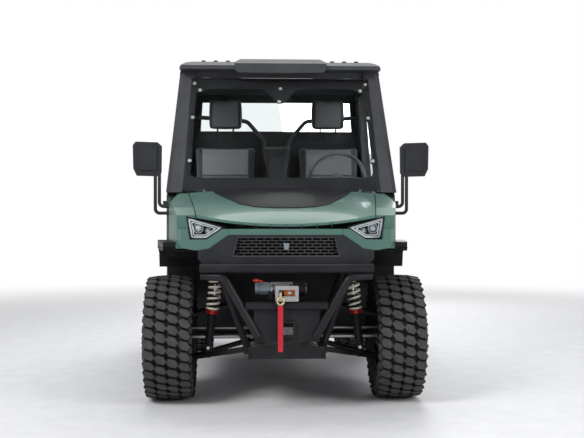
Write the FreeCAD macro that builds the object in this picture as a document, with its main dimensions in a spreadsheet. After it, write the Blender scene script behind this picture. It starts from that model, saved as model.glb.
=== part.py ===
import FreeCAD, Part
import math
import os

import Sketcher

Vector = FreeCAD.Vector

# Side by side utility vehicle with a full cab, an open cargo bed, a tube bumper and a winch.
# Frame: Z up, the front faces -Y, the driver's side is +X, the wheels stand on Z = 0,
# and X = 0 is the middle plane of the vehicle. All lengths are in millimetres.

DRIVING_SIZES = [
    # running gear
    ("wheelbase", 1960),
    ("front_axle_y", -1000),
    ("tyre_radius", 343),
    ("front_tyre_width", 258),
    ("rear_tyre_width", 286),
    ("half_track_outer", 757),
    ("lug_height", 18),
    ("lug_length", 84),
    ("bead_radius", 178),
    ("rim_wall", 7),
    ("rim_lip", 12),
    ("seat_gap", 0.3),
    ("motion_gap", 6),
    ("kingpin_x", 550),
    ("steer_arm_radius", 80),
    ("ball_joint_rise", 92),
    ("ball_boss_radius", 18),
    ("bell_radius", 44),
    ("bell_wall", 6),
    ("joint_ball_radius", 30),
    ("shaft_radius", 12),
    ("brake_disc_radius", 112),
    ("brake_disc_thick", 5),
    ("arm_tube_radius", 15),
    ("lower_arm_reach", 200),
    ("lower_arm_back", 150),
    ("upper_arm_inner_z", 520),
    ("upper_arm_reach", 170),
    ("shock_top_x", 372),
    ("shock_foot_x", 420),
    ("shock_offset", 68),
    ("spring_radius", 40),
    ("spring_wire", 6.5),
    ("spring_turns", 7),
    ("spring_seat_rise", 200),
    ("damper_radius", 22),
    # chassis
    ("rail_radius", 19),
    ("cross_step", 2),
    ("weld_gap", 0.4),
    ("rail_x", 205),
    ("rail_z", 300),
    ("rail_overhang", 260),
    ("sill_x", 610),
    ("upper_rail_z", 748),
    ("skid_thick", 6),
    ("hitch_bore", 50.8),
    ("hitch_wall", 6.4),
    ("hitch_depth", 150),
    ("hitch_pin", 15.9),
    # cab
    ("floor_thick", 8),
    ("cab_front_y", -560),
    ("cab_rear_y", 500),
    ("cab_half_width", 690),
    ("roof_half_width", 626),
    ("belt_z", 1135),
    ("roof_z", 1930),
    ("roof_thick", 55),
    ("roof_top_z", 2000),
    ("roof_front_y", -440),
    ("roof_rear_y", 590),
    ("roof_rib_height", 9),
    ("visor_half_width", 262),
    ("visor_drop", 21),
    ("screen_base_y", -722),
    ("screen_base_z", 1157),
    ("screen_top_y", -352),
    ("screen_top_z", 1915),
    ("screen_base_half", 590),
    ("screen_top_half", 557),
    ("pillar_chamfer", 34),
    ("door_rear_y", 428),
    ("door_bottom_z", 392),
    ("door_top_z", 1905),
    ("door_thick", 58),
    ("door_hinge_out", 12),
    # seats
    ("seat_centre_x", 362),
    ("seat_width", 500),
    ("seat_top_z", 790),
    ("cushion_thick", 130),
    ("seat_front_y", -180),
    ("seat_rear_y", 330),
    ("seat_back_top_z", 1540),
    ("headrest_low_z", 1620),
    ("headrest_top_z", 1860),
    ("headrest_width", 250),
    # front body
    ("hood_rear_y", -745),
    ("hood_front_y", -1352),
    ("hood_rear_half", 545),
    ("hood_front_half", 470),
    ("hood_thick", 14),
    ("hood_rear_z", 1152),
    ("fender_half_width", 662),
    ("fender_front_half", 600),
    ("flare_half_width", 728),
    ("flare_front_half", 634),
    ("fender_bottom_z", 838),
    ("panel_gap", 6),
    ("mirror_x", 800),
    ("mirror_z", 1358),
    ("nose_y", -1385),
    ("cover_top_z", 917),
    ("cover_bottom_z", 769),
    ("cover_half_width", 460),
    ("cheek_x", 404),
    ("cheek_z", 846),
    ("slot_width", 32),
    ("slot_height", 10),
    ("slot_pitch", 42),
    ("slot_rise", 16),
    ("insert_thick", 5),
    # bumper and winch
    ("bumper_radius", 24),
    ("bumper_front_y", -1456),
    ("bumper_top_z", 747),
    ("bumper_half_width", 446),
    ("bumper_cross_z", 553),
    ("winch_z", 637),
    ("winch_y", -1345),
    ("winch_motor_radius", 32),
    ("strap_width", 27),
    ("strap_thick", 3),
    ("strap_length", 235),
    # load bed
    ("bed_floor_z", 812),
    ("bed_floor_thick", 24),
    ("bed_front_y", 640),
    ("bed_rear_y", 1457),
    ("bed_half_width", 680),
    ("bed_top_z", 1120),
    ("bed_wall", 40),
    ("bed_pivot_y", 1250),
    ("bed_pin_radius", 12),
    ("tailgate_thick", 34),
    ("tie_down_spacing", 560),
    ("tie_down_bore", 8.5),
]

# Sizes that follow from the driving ones
WORKED_OUT_SIZES = {
    "rear_axle_y": "front_axle_y + wheelbase",
    "front_wheel_x": "half_track_outer - front_tyre_width / 2",
    "rear_wheel_x": "half_track_outer - rear_tyre_width / 2",
    "hub_face_x": "half_track_outer - 109",
    "tie_rod_z": "tyre_radius + 39",
    "floor_z": "rail_z + rail_radius + seat_gap",
    "screen_slope": "(screen_top_y - screen_base_y) / (screen_top_z - screen_base_z)",
    "side_slope": "(cab_half_width - 4 - roof_half_width) / (roof_z - belt_z)",
    "pillar_depth": "120",
    "door_front_top": "screen_base_y + (belt_z - screen_base_z) * screen_slope + pillar_depth + 8",
    "door_hinge_y": "door_front_top - 6",
    "mirror_y": "door_front_top - 50",
    "post_inner_x": "sill_x - 46",
    "bed_under_z": "bed_floor_z - bed_floor_thick",
    "tailgate_pivot_y": "bed_rear_y - 14",
    "tailgate_pivot_z": "bed_floor_z + 20",
    "hood_hinge_y": "hood_rear_y + 7",
    "hood_hinge_z": "hood_rear_z + 14",
}


def open_document():
    document = FreeCAD.newDocument("side_by_side")
    sheet = document.addObject("Spreadsheet::Sheet", "sizes")
    for row, (alias, number) in enumerate(DRIVING_SIZES, start=1):
        cell = "B%d" % row
        sheet.set("A%d" % row, alias.replace("_", " "))
        sheet.set(cell, str(number))
        sheet.setAlias(cell, alias)
    document.recompute()
    return document, sheet


doc, sheet = open_document()


def rewritten(expression, change):
    """The expression with each word passed through a change."""
    text = ""
    word = ""
    for letter in str(expression) + " ":
        if letter.isalnum() or letter == "_":
            word += letter
            continue
        text += change(word) + letter
        word = ""
    return text.strip()


def driven(word):
    if word not in WORKED_OUT_SIZES:
        return word
    return "(%s)" % rewritten(WORKED_OUT_SIZES[word], driven)


def mm(expression):
    """The value of an expression in the sheet's aliases and the worked-out sizes."""
    return float(sheet.evalExpression(rewritten(expression, driven)))


def bound(expression):
    """The expression in the sheet's aliases, each prefixed by the sheet's name."""
    words = {alias for alias, _ in DRIVING_SIZES}
    return rewritten(
        rewritten(expression, driven),
        lambda word: "sizes." + word if word in words else word,
    )


def bind(item, name, expression):
    item.setExpression(name, bound(expression))


def origin_plane(body, role):
    return [feature for feature in body.Origin.OriginFeatures if feature.Role == role][0]


PLANE_OF_AXIS = {"X": "YZ_Plane", "Y": "XZ_Plane", "Z": "XY_Plane"}


def outline_sketch(body, name, role, outline):
    """A closed sketch of straight edges whose corners are bound to the sheet."""
    sketch = body.newObject("Sketcher::SketchObject", name)
    sketch.AttachmentSupport = [(origin_plane(body, role), "")]
    sketch.MapMode = "FlatFace"
    corners = [(mm(u), mm(v)) for u, v in outline]
    count = len(corners)
    for index in range(count):
        here = corners[index]
        following = corners[(index + 1) % count]
        sketch.addGeometry(Part.LineSegment(Vector(*here, 0), Vector(*following, 0)), False)
    for index in range(count):
        following = (index + 1) % count
        sketch.addConstraint(Sketcher.Constraint("Coincident", index, 2, following, 1))
    for index, corner in enumerate(corners):
        for kind, number, expression in zip(("DistanceX", "DistanceY"), corner, outline[index]):
            place = sketch.addConstraint(Sketcher.Constraint(kind, -1, 1, index, 1, number))
            sketch.setExpression("Constraints[%d]" % place, bound(expression))
    return sketch


def prism(name, axis, outline, start, stop):
    """An outline padded along an axis from start to stop.

    The outline is in (Y, Z) for axis X, in (X, Z) for axis Y and in (X, Y) for axis Z.
    """
    body = doc.addObject("PartDesign::Body", name)
    sketch = outline_sketch(body, name + "_outline", PLANE_OF_AXIS[axis], outline)
    plane_at = "-(%s)" % stop if axis == "Y" else start
    bind(sketch, "AttachmentOffset.Base.z", plane_at)
    pad = body.newObject("PartDesign::Pad", name + "_pad")
    pad.Profile = sketch
    bind(pad, "Length", "(%s) - (%s)" % (stop, start))
    body.Tip = pad
    sketch.Visibility = False
    return body


def turned(name, outline, axis="X"):
    """An outline of (distance along the axis, radius) revolved about X or Z."""
    body = doc.addObject("PartDesign::Body", name)
    if axis == "Z":
        outline = [(radius, along) for along, radius in outline]
    sketch = outline_sketch(body, name + "_outline", "XZ_Plane", outline)
    spin = body.newObject("PartDesign::Revolution", name + "_spin")
    spin.Profile = sketch
    spin.ReferenceAxis = (sketch, ["H_Axis" if axis == "X" else "V_Axis"])
    spin.Angle = 360
    body.Tip = spin
    return body


def box(name, low, high):
    """A block between two corners given as expressions."""
    block = doc.addObject("Part::Box", name)
    for word, first, last in zip(("Length", "Width", "Height"), low, high):
        bind(block, word, "(%s) - (%s)" % (last, first))
    for letter, first in zip("xyz", low):
        bind(block, "Placement.Base." + letter, first)
    return block


AXIS_TURN = {
    "X": FreeCAD.Rotation(Vector(0, 1, 0), 90),
    "Y": FreeCAD.Rotation(Vector(1, 0, 0), -90),
    "Z": FreeCAD.Rotation(),
}


def rod(name, axis, start, radius, length):
    """A cylinder that starts at a point and runs along +X, +Y or +Z."""
    cylinder = doc.addObject("Part::Cylinder", name)
    cylinder.Placement = FreeCAD.Placement(Vector(), AXIS_TURN[axis])
    bind(cylinder, "Radius", radius)
    bind(cylinder, "Height", length)
    for letter, first in zip("xyz", start):
        bind(cylinder, "Placement.Base." + letter, first)
    return cylinder


def cut(name, base, *tools):
    for index, tool in enumerate(tools):
        difference = doc.addObject("Part::Cut", "%s_cut_%d" % (name, index))
        difference.Base = base
        difference.Tool = tool
        base = difference
    return base


def joined(name, *pieces):
    union = doc.addObject("Part::MultiFuse", name + "_joined")
    union.Shapes = list(pieces)
    return union


def common(name, *pieces):
    overlap = doc.addObject("Part::MultiCommon", name + "_common")
    overlap.Shapes = list(pieces)
    return overlap


def together(name, *pieces):
    group = doc.addObject("Part::Compound", name + "_group")
    group.Links = list(pieces)
    return group


def mirrored(name, piece):
    image = doc.addObject("Part::Mirroring", name + "_mirrored")
    image.Source = piece
    image.Normal = Vector(1, 0, 0)
    image.Base = Vector(0, 0, 0)
    return image


def both_sides(name, piece):
    return together(name, piece, mirrored(name, piece))


def point(x, y, z):
    return Vector(mm(x), mm(y), mm(z))


def bent_path(points, bend_radius):
    """Straight runs joined by tangent arcs of one bend radius."""
    edges = []
    start = points[0]
    for index in range(1, len(points) - 1):
        corner = points[index]
        back = (points[index - 1] - corner).normalize()
        ahead = (points[index + 1] - corner).normalize()
        half = back.getAngle(ahead) / 2
        reach = bend_radius / math.tan(half)
        middle_way = (back + ahead).normalize()
        middle = corner + middle_way * (bend_radius / math.sin(half) - bend_radius)
        first = corner + back * reach
        last = corner + ahead * reach
        edges.append(Part.LineSegment(start, first).toShape())
        edges.append(Part.Arc(first, middle, last).toShape())
        start = last
    edges.append(Part.LineSegment(start, points[-1]).toShape())
    return Part.Wire(edges)


def tube_solid(points, radius, bend_radius=60.0):
    """A round bar along straight runs and bends."""
    if len(points) == 2:
        run = points[1] - points[0]
        return Part.makeCylinder(radius, run.Length, points[0], run)
    path = bent_path(points, bend_radius)
    circle = Part.Wire(Part.makeCircle(radius, points[0], points[1] - points[0]))
    return path.makePipeShell([circle], True, False)


def flipped(shape):
    return shape.mirror(Vector(0, 0, 0), Vector(1, 0, 0))


def welded(shapes):
    solid = shapes[0].multiFuse(shapes[1:]) if len(shapes) > 1 else shapes[0]
    return solid.removeSplitter()


def feature(name, shape):
    item = doc.addObject("Part::Feature", name + "_shape")
    item.Shape = shape
    item.Placement = FreeCAD.Placement()
    return item


NODES = {}


def node(name, item):
    """Names a finished sub-part."""
    item.Label = name
    NODES[name] = item
    return item


# Wheels, each with its tyre, rim, hub and brake disc

RIM_WINDOWS = 7
TREAD_PITCHES = 12


def flat_sided_ring(radius, x):
    """A regular polygon about X, two sides to a tread pitch, with one side straight down."""
    sides = 2 * TREAD_PITCHES
    corner = radius / math.cos(math.pi / sides)
    points = []
    for index in range(sides):
        turn = 2 * math.pi * (index + 0.5) / sides
        points.append(Vector(x, corner * math.sin(turn), -corner * math.cos(turn)))
    return points + points[:1]


def carcass(half):
    """The tyre's body under its lugs, from bead to bead, as rings joined by flat strips."""
    radius = mm("tyre_radius")
    crown = radius - mm("lug_height")
    bead = mm("bead_radius")
    right = [
        (half * 0.72, bead + mm("rim_lip") + 2),
        (half - 8, bead + 70),
        (half * 0.82, crown),
    ]
    stations = [(-x, ring) for x, ring in right] + right[::-1]
    rings = [flat_sided_ring(ring, x) for x, ring in stations]
    faces = [Part.Face(Part.makePolygon(rings[0])), Part.Face(Part.makePolygon(rings[-1]))]
    for one, other in zip(rings, rings[1:]):
        for index in range(len(one) - 1):
            corners = [one[index], one[index + 1], other[index + 1], other[index], one[index]]
            faces.append(Part.Face(Part.makePolygon(corners)))
    return Part.Solid(Part.Shell(faces))


def tyre(name, width):
    half = "(%s) / 2" % width
    body = feature(name + "_carcass", carcass(mm(half)))
    ring = Part.Face(Part.makePolygon(flat_sided_ring(mm("bead_radius + seat_gap"), -mm(width))))
    bore = feature(name + "_bore", ring.extrude(Vector(2 * mm(width), 0, 0)))
    lug = prism(name + "_lug", "Y", [
        ("-%s * 0.1" % half, "tyre_radius - lug_height - 6"),
        ("-%s * 0.1" % half, "tyre_radius"),
        ("%s * 0.74" % half, "tyre_radius"),
        (half, "tyre_radius - 46"),
        (half + " - 24", "tyre_radius - 70"),
    ], "-lug_length / 2", "lug_length / 2")
    lugs = []
    for side, piece in enumerate((lug, mirrored(name + "_lug", lug))):
        for index in range(TREAD_PITCHES):
            turn = FreeCAD.Rotation(Vector(1, 0, 0), (index + side / 2) * 360 / TREAD_PITCHES)
            copy = together("%s_lug_%d_%d" % (name, side, index), piece)
            copy.Placement = FreeCAD.Placement(Vector(), turn)
            lugs.append(copy)
    return cut(name, joined(name + "_tread", body, *lugs), bore)


def rim(name, width, wheel_x):
    bead = "((%s) * 0.36 + seat_gap)" % width
    face = "(hub_face_x - (%s))" % wheel_x
    barrel = turned(name + "_barrel", [
        (bead + " + 9", "bead_radius + rim_lip"),
        (bead, "bead_radius + rim_lip"),
        (bead, "bead_radius"),
        ("-" + bead, "bead_radius"),
        ("-" + bead, "bead_radius + rim_lip"),
        ("-" + bead + " - 9", "bead_radius + rim_lip"),
        ("-" + bead + " - 9", "bead_radius - rim_wall"),
        (face + " + 14", "bead_radius - rim_wall"),
        (face, "76"),
        (face, "34"),
        (face + " + 10", "34"),
        (face + " + 10", "76"),
        (face + " + 26", "bead_radius - rim_wall"),
        (bead + " + 9", "bead_radius - rim_wall"),
    ])
    window = prism(name + "_window", "X", [
        ("-16", "88"),
        ("16", "88"),
        ("38", "bead_radius - 24"),
        ("-38", "bead_radius - 24"),
    ], face + " - 5", face + " + 45")
    windows = []
    for index in range(RIM_WINDOWS):
        turn = FreeCAD.Rotation(Vector(1, 0, 0), index * 360 / RIM_WINDOWS)
        copy = together("%s_window_%d" % (name, index), window)
        copy.Placement = FreeCAD.Placement(Vector(), turn)
        windows.append(copy)
    return cut(name, barrel, joined(name + "_windows", *windows))


def hub(name):
    """Flange, spindle, brake disc and the bell of the drive joint, along X from the middle plane."""
    bell_back = "kingpin_x - bell_radius + 16"
    disc_x = "hub_face_x - 38"
    return turned(name, [
        (bell_back, "bell_radius - bell_wall"),
        (bell_back, "bell_radius"),
        ("kingpin_x + bell_radius", "bell_radius"),
        ("kingpin_x + bell_radius", "24"),
        (disc_x, "24"),
        (disc_x, "brake_disc_radius"),
        (disc_x + " + brake_disc_thick", "brake_disc_radius"),
        (disc_x + " + brake_disc_thick", "30"),
        ("hub_face_x - 12", "30"),
        ("hub_face_x - 12", "62"),
        ("hub_face_x", "62"),
        ("hub_face_x", "0"),
        ("kingpin_x + bell_radius - 12", "0"),
        ("kingpin_x + bell_radius - 12", "bell_radius - bell_wall"),
    ])


def put_at(name, piece, x, y, z):
    """A copy of a piece moved to a place given as expressions."""
    copy = together(name, piece)
    for letter, expression in zip("xyz", (x, y, z)):
        bind(copy, "Placement.Base." + letter, expression)
    return copy


def make_wheels():
    for end, width, wheel_x, axle_y in (
        ("front", "front_tyre_width", "front_wheel_x", "front_axle_y"),
        ("rear", "rear_tyre_width", "rear_wheel_x", "rear_axle_y"),
    ):
        rubber = put_at(end + "_tyre_placed", tyre(end + "_tyre", width), wheel_x, axle_y, "tyre_radius")
        metal = joined(
            end + "_rim",
            put_at(end + "_rim_placed", rim(end + "_rim", width, wheel_x), wheel_x, axle_y, "tyre_radius"),
            put_at(end + "_hub_placed", hub(end + "_hub"), "0", axle_y, "tyre_radius"),
        )
        node("tyre_%s_left" % end, rubber)
        node("tyre_%s_right" % end, mirrored("tyre_%s_right" % end, rubber))
        node("rim_%s_left" % end, metal)
        node("rim_%s_right" % end, mirrored("rim_%s_right" % end, metal))


# Steering knuckles and rear hub carriers: an upright with a bearing ring, caliper and steering arm


def upright(name, axle_y, steered):
    ring = rod(name + "_ring", "X", ("kingpin_x - 16", axle_y, "tyre_radius"), "bell_radius + 14", "58")
    post = box(
        name + "_post",
        ("kingpin_x - 12", axle_y + " - 22", "tyre_radius - ball_joint_rise + seat_gap"),
        ("kingpin_x + 12", axle_y + " + 22", "tyre_radius + ball_joint_rise - seat_gap"),
    )
    bracket = box(
        name + "_bracket",
        ("kingpin_x + 14", axle_y + " - 96", "tyre_radius - 24"),
        ("kingpin_x + 42", axle_y + " - 30", "tyre_radius + 24"),
    )
    caliper = box(
        name + "_caliper",
        ("kingpin_x + 34", axle_y + " - 136", "tyre_radius - 36"),
        ("kingpin_x + 88", axle_y + " - 76", "tyre_radius + 36"),
    )
    pieces = [ring, post, bracket, caliper]
    if steered:
        arm_top = "tie_rod_z - 9 - seat_gap"
        pieces.append(box(
            name + "_steering_arm",
            ("kingpin_x - 11", axle_y + " + 38", arm_top + " - 11"),
            ("kingpin_x + 11", axle_y + " + steer_arm_radius", arm_top),
        ))
        pieces.append(rod(
            name + "_arm_boss",
            "Z",
            ("kingpin_x", axle_y + " + steer_arm_radius", arm_top + " - 11"),
            "14",
            "11",
        ))
    solid = joined(name, *pieces)
    bore = rod(name + "_bore", "X", ("kingpin_x - 60", axle_y, "tyre_radius"), "bell_radius + seat_gap", "160")
    disc_slot = rod(
        name + "_disc_slot",
        "X",
        ("hub_face_x - 38 - motion_gap", axle_y, "tyre_radius"),
        "brake_disc_radius + motion_gap",
        "brake_disc_thick + 2 * motion_gap",
    )
    return cut(name, solid, bore, disc_slot)


def make_knuckles():
    knuckle = upright("knuckle", "front_axle_y", True)
    node("knuckle_left", knuckle)
    node("knuckle_right", mirrored("knuckle_right", knuckle))
    carrier = upright("carrier", "rear_axle_y", False)
    node("rear_hub_carriers", both_sides("rear_hub_carriers", carrier))


def make_tie_rods():
    rod_y = "front_axle_y + steer_arm_radius"
    rack = rod("rack_bar", "X", ("-220", rod_y, "tie_rod_z"), "11", "440")
    links = rod("rack_links", "X", ("-kingpin_x + 12", rod_y, "tie_rod_z"), "8", "2 * kingpin_x - 24")
    eye = rod("rack_eye", "Z", ("kingpin_x", rod_y, "tie_rod_z - 9"), "14", "18")
    node("tie_rods", joined("tie_rods", rack, links, eye, mirrored("rack_eye_right", eye)))


# Suspension arms, shocks and driveline

def arm_pair(axle_y, toward, lower_reach, upper_reach):
    """Lower and upper arms of one side; toward is the side of the axle where the shock stands."""
    kingpin = mm("kingpin_x")
    hub_z = mm("tyre_radius")
    rise = mm("ball_joint_rise")
    drop = 26.0
    tube = mm("arm_tube_radius")
    rail = Vector(mm("rail_x"), 0, mm("rail_z"))
    pivot = upper_pivot()
    boss = mm("ball_boss_radius")
    lower_ball = Vector(kingpin, axle_y, hub_z - rise)
    upper_ball = Vector(kingpin, axle_y, hub_z + rise)
    lower_tip = lower_ball + Vector(-14, 0, -drop)
    upper_tip = upper_ball + Vector(-14, 0, drop)
    height = drop + tube - 4
    lower = [Part.makeCylinder(boss, height, lower_ball - Vector(0, 0, height))]
    upper = [Part.makeCylinder(boss, height, upper_ball)]
    for reach in (toward * lower_reach, -toward * mm("lower_arm_back")):
        foot = Vector(rail.x, axle_y + reach, rail.z)
        lower.append(tube_solid([lower_tip, foot], tube))
        lower.append(Part.makeCylinder(mm("rail_radius") + 8, 56, foot - Vector(0, 28, 0), Vector(0, 1, 0)))
    for reach in (0, -toward * upper_reach):
        foot = Vector(pivot.x, axle_y + reach, pivot.z)
        upper.append(tube_solid([upper_tip, foot], tube))
        upper.append(Part.makeCylinder(tube + 9, 50, foot - Vector(0, 25, 0), Vector(0, 1, 0)))
    seat_top = lower_arm_seat_z()
    seat_y = axle_y + toward * mm("shock_offset")
    lower.append(Part.makeCylinder(14, 40, Vector(mm("shock_foot_x"), seat_y, seat_top - 40)))
    gap = mm("seat_gap")
    rail_bore = Part.makeCylinder(mm("rail_radius") + gap, 900, Vector(rail.x, axle_y - 450, rail.z), Vector(0, 1, 0))
    pivot_bore = Part.makeCylinder(tube + gap, 900, Vector(pivot.x, axle_y - 450, pivot.z), Vector(0, 1, 0))
    return welded(lower).cut(rail_bore), welded(upper).cut(pivot_bore)


def upper_pivot():
    """Where the sloping uprights of the frame carry the upper arms' pivot tube."""
    share = (mm("upper_arm_inner_z") - mm("rail_z")) / (mm("upper_rail_z") - mm("rail_z"))
    return Vector(mm("rail_x") + share * (mm("shock_top_x") - mm("rail_x")), 0, mm("upper_arm_inner_z"))


AXLES = (("front_axle_y", -1), ("rear_axle_y", 1))


def make_arms():
    shapes = []
    for axle, toward in AXLES:
        lower, upper = arm_pair(mm(axle), toward, mm("lower_arm_reach"), mm("upper_arm_reach"))
        shapes += [lower, upper, flipped(lower), flipped(upper)]
    node("suspension_arms", feature("suspension_arms", Part.makeCompound(shapes)))


def coilover(axle_y, toward):
    """A damper body, its rod, a spring between two seats and an eye at each end."""
    y = axle_y + toward * mm("shock_offset")
    eye = 15.0
    gap = mm("seat_gap")
    top = Vector(mm("shock_top_x"), y, mm("upper_rail_z - rail_radius") - gap - eye)
    foot = Vector(mm("shock_foot_x"), y, lower_arm_seat_z() + gap + eye)
    line = top - foot
    along = Vector(line).normalize()
    length = line.Length
    damper = mm("damper_radius")
    coil = mm("spring_radius")
    seat_at = mm("spring_seat_rise")
    pieces = [
        Part.makeCylinder(damper, length * 0.5, foot + along * 10, along),
        Part.makeCylinder(damper * 0.45, length * 0.6, foot + along * (length * 0.38), along),
        Part.makeCylinder(eye, 34, foot - Vector(0, 17, 0), Vector(0, 1, 0)),
        Part.makeCylinder(eye, 34, top - Vector(0, 17, 0), Vector(0, 1, 0)),
        Part.makeCylinder(coil, 10, foot + along * seat_at, along),
        Part.makeCylinder(coil, 12, top - along * 30, along),
        coil_spring(foot + along * (seat_at + 5), along, length - seat_at - 30),
    ]
    return welded(pieces)


SPRING_STEPS = 12
WIRE_SIDES = 6


def coil_spring(start, along, length):
    """A round wire wound in a helix, whose two ends sink into the spring's seats."""
    wire = mm("spring_wire")
    radius = mm("spring_radius") - wire - 1
    steps = SPRING_STEPS * round(mm("spring_turns"))
    bends = []
    for index in range(steps + 1):
        turn = 2 * math.pi * index / SPRING_STEPS
        bends.append(Vector(radius * math.cos(turn), radius * math.sin(turn), length * index / steps))
    start_way = bends[1] - bends[0]
    section = []
    for index in range(WIRE_SIDES + 1):
        turn = FreeCAD.Rotation(start_way, index * 360 / WIRE_SIDES)
        section.append(bends[0] + turn.multVec(start_way.cross(Vector(0, 0, 1)).normalize() * wire))
    coil = Part.makePolygon(bends).makePipeShell([Part.makePolygon(section)], True, False, 1)
    coil.Placement = FreeCAD.Placement(start, FreeCAD.Rotation(Vector(0, 0, 1), along))
    return coil


def lower_arm_seat_z():
    """Height of the shock's seat on the lower arm."""
    inner = mm("rail_x")
    tip_x = mm("kingpin_x") - 14
    tip_z = mm("tyre_radius - ball_joint_rise") - 26
    share = (mm("shock_foot_x") - inner) / (tip_x - inner)
    return mm("rail_z") + share * (tip_z - mm("rail_z")) + mm("arm_tube_radius") + 10


def make_shocks():
    shapes = []
    for axle, toward in AXLES:
        shock = coilover(mm(axle), toward)
        shapes += [shock, flipped(shock)]
    node("shocks", feature("shocks", Part.makeCompound(shapes)))


GEARCASES = (("front_axle_y", -95, 52), ("rear_axle_y", -80, 90))


def make_driveline():
    pieces = []
    for index, (axle, low, high) in enumerate(GEARCASES):
        case = box(
            "gearcase_%d" % index,
            ("-92", "%s + %d" % (axle, low), "tyre_radius - 66"),
            ("92", "%s + %d" % (axle, high), "tyre_radius + 60"),
        )
        shaft = rod("half_shaft_%d" % index, "X", ("-kingpin_x", axle, "tyre_radius"), "shaft_radius", "2 * kingpin_x")
        pieces += [case, shaft]
        for side in ("", "-"):
            ball = doc.addObject("Part::Sphere", "joint_ball_%d_%s" % (index, "right" if side else "left"))
            bind(ball, "Radius", "joint_ball_radius")
            bind(ball, "Placement.Base.x", side + "kingpin_x")
            bind(ball, "Placement.Base.y", axle)
            bind(ball, "Placement.Base.z", "tyre_radius")
            pieces.append(ball)
        boot = rod("inner_boot_%d" % index, "X", ("90", axle, "tyre_radius"), "34", "78")
        pieces += [boot, mirrored("inner_boot_right_%d" % index, boot)]
        for place in (low + 4, high - 24):
            pieces.append(box(
                "gearcase_lug_%d_%d" % (index, place - low),
                ("-rail_x + rail_radius + seat_gap", "%s + %d" % (axle, place), "rail_z - 10"),
                ("rail_x - rail_radius - seat_gap", "%s + %d" % (axle, place + 20), "rail_z + 10"),
            ))
    prop = rod("prop_shaft", "Y", ("0", "front_axle_y + 50", "tyre_radius + 1"), "14", "wheelbase - 126")
    pieces.append(prop)
    node("driveline", joined("driveline", *pieces))


# Frame of welded tube: rails, sills, uprights, upper rails, skid plate and hitch socket

def paired_tubes(tubes, extra=0.0):
    shapes = [tube_solid(points, radius + extra) for points, radius in tubes]
    return shapes + [flipped(shape) for shape in shapes]


def less(shape, rooms):
    for room in rooms:
        shape = shape.cut(room)
    return shape


def make_frame():
    """The ladder of two rails with its skid plates, then each welded-on part with a weld gap round the tubes."""
    rail = mm("rail_radius")
    x = mm("rail_x")
    z = mm("rail_z")
    weld = mm("weld_gap")
    front = mm("front_axle_y - rail_overhang")
    rear = mm("rear_axle_y + rail_overhang")
    step = mm("cross_step")
    rails = [([Vector(x, front, z), Vector(x, rear, z)], rail)]
    shapes = paired_tubes(rails)
    for y in (front - step, rear):
        shapes.append(tube_solid([Vector(-x, y, z), Vector(x, y, z)], rail - step))
    thick = mm("skid_thick")
    skid_z = z - rail - thick + 2
    wide_front = mm("front_axle_y") + 190
    wide_rear = mm("rear_axle_y") - 190
    shapes.append(Part.makeBox(2 * x, wide_rear - wide_front, thick, Vector(-x, wide_front, skid_z)))
    narrow = x - rail - 12
    shapes.append(Part.makeBox(2 * narrow, rear - front + rail, thick, Vector(-narrow, front - rail, skid_z)))
    frame = welded(shapes)
    for axle, low, high in GEARCASES:
        gap = mm("motion_gap")
        opening = Part.makeBox(
            184 + 2 * gap, high - low + 2 * gap, 4 * thick,
            Vector(-92 - gap, mm(axle) + low - gap, skid_z - 2 * thick))
        frame = frame.cut(opening)
    node("chassis_frame", feature("chassis_frame", frame))
    rail_rooms = paired_tubes(rails, weld)
    make_sills(rail_rooms, x, z)
    make_towers(rail_rooms, front, rear)
    cross_room = tube_solid([Vector(-x, rear, z), Vector(x, rear, z)], rail - step + weld)
    plate_room = Part.makeBox(2 * x, 2 * rail, 2 * rail, Vector(-x, rear + weld - 2 * rail, z - 2 * rail))
    receiver = less(welded(hitch_parts(rear)), [cross_room, plate_room, hitch_cuts(rear)])
    node("hitch_receiver", feature("hitch_receiver", receiver))


def make_sills(rail_rooms, x, z):
    """A sill tube along each side and the three outriggers that carry it."""
    rail = mm("rail_radius")
    sill = mm("sill_x")
    front = mm("cab_front_y") + 20
    rear = mm("cab_rear_y") - 30
    pieces = [tube_solid([Vector(sill, front - rail, z), Vector(sill, rear + rail, z)], rail)]
    sill_room = tube_solid([Vector(sill, front - rail, z), Vector(sill, rear + rail, z)], rail + mm("weld_gap"))
    for y in (front, -40.0, rear):
        outrigger = tube_solid([Vector(x, y, z), Vector(sill, y, z)], rail)
        pieces.append(less(outrigger, rail_rooms + [sill_room]))
    pieces += [flipped(piece) for piece in pieces]
    node("sill_frames", feature("sill_frames", Part.makeCompound(pieces)))


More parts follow.
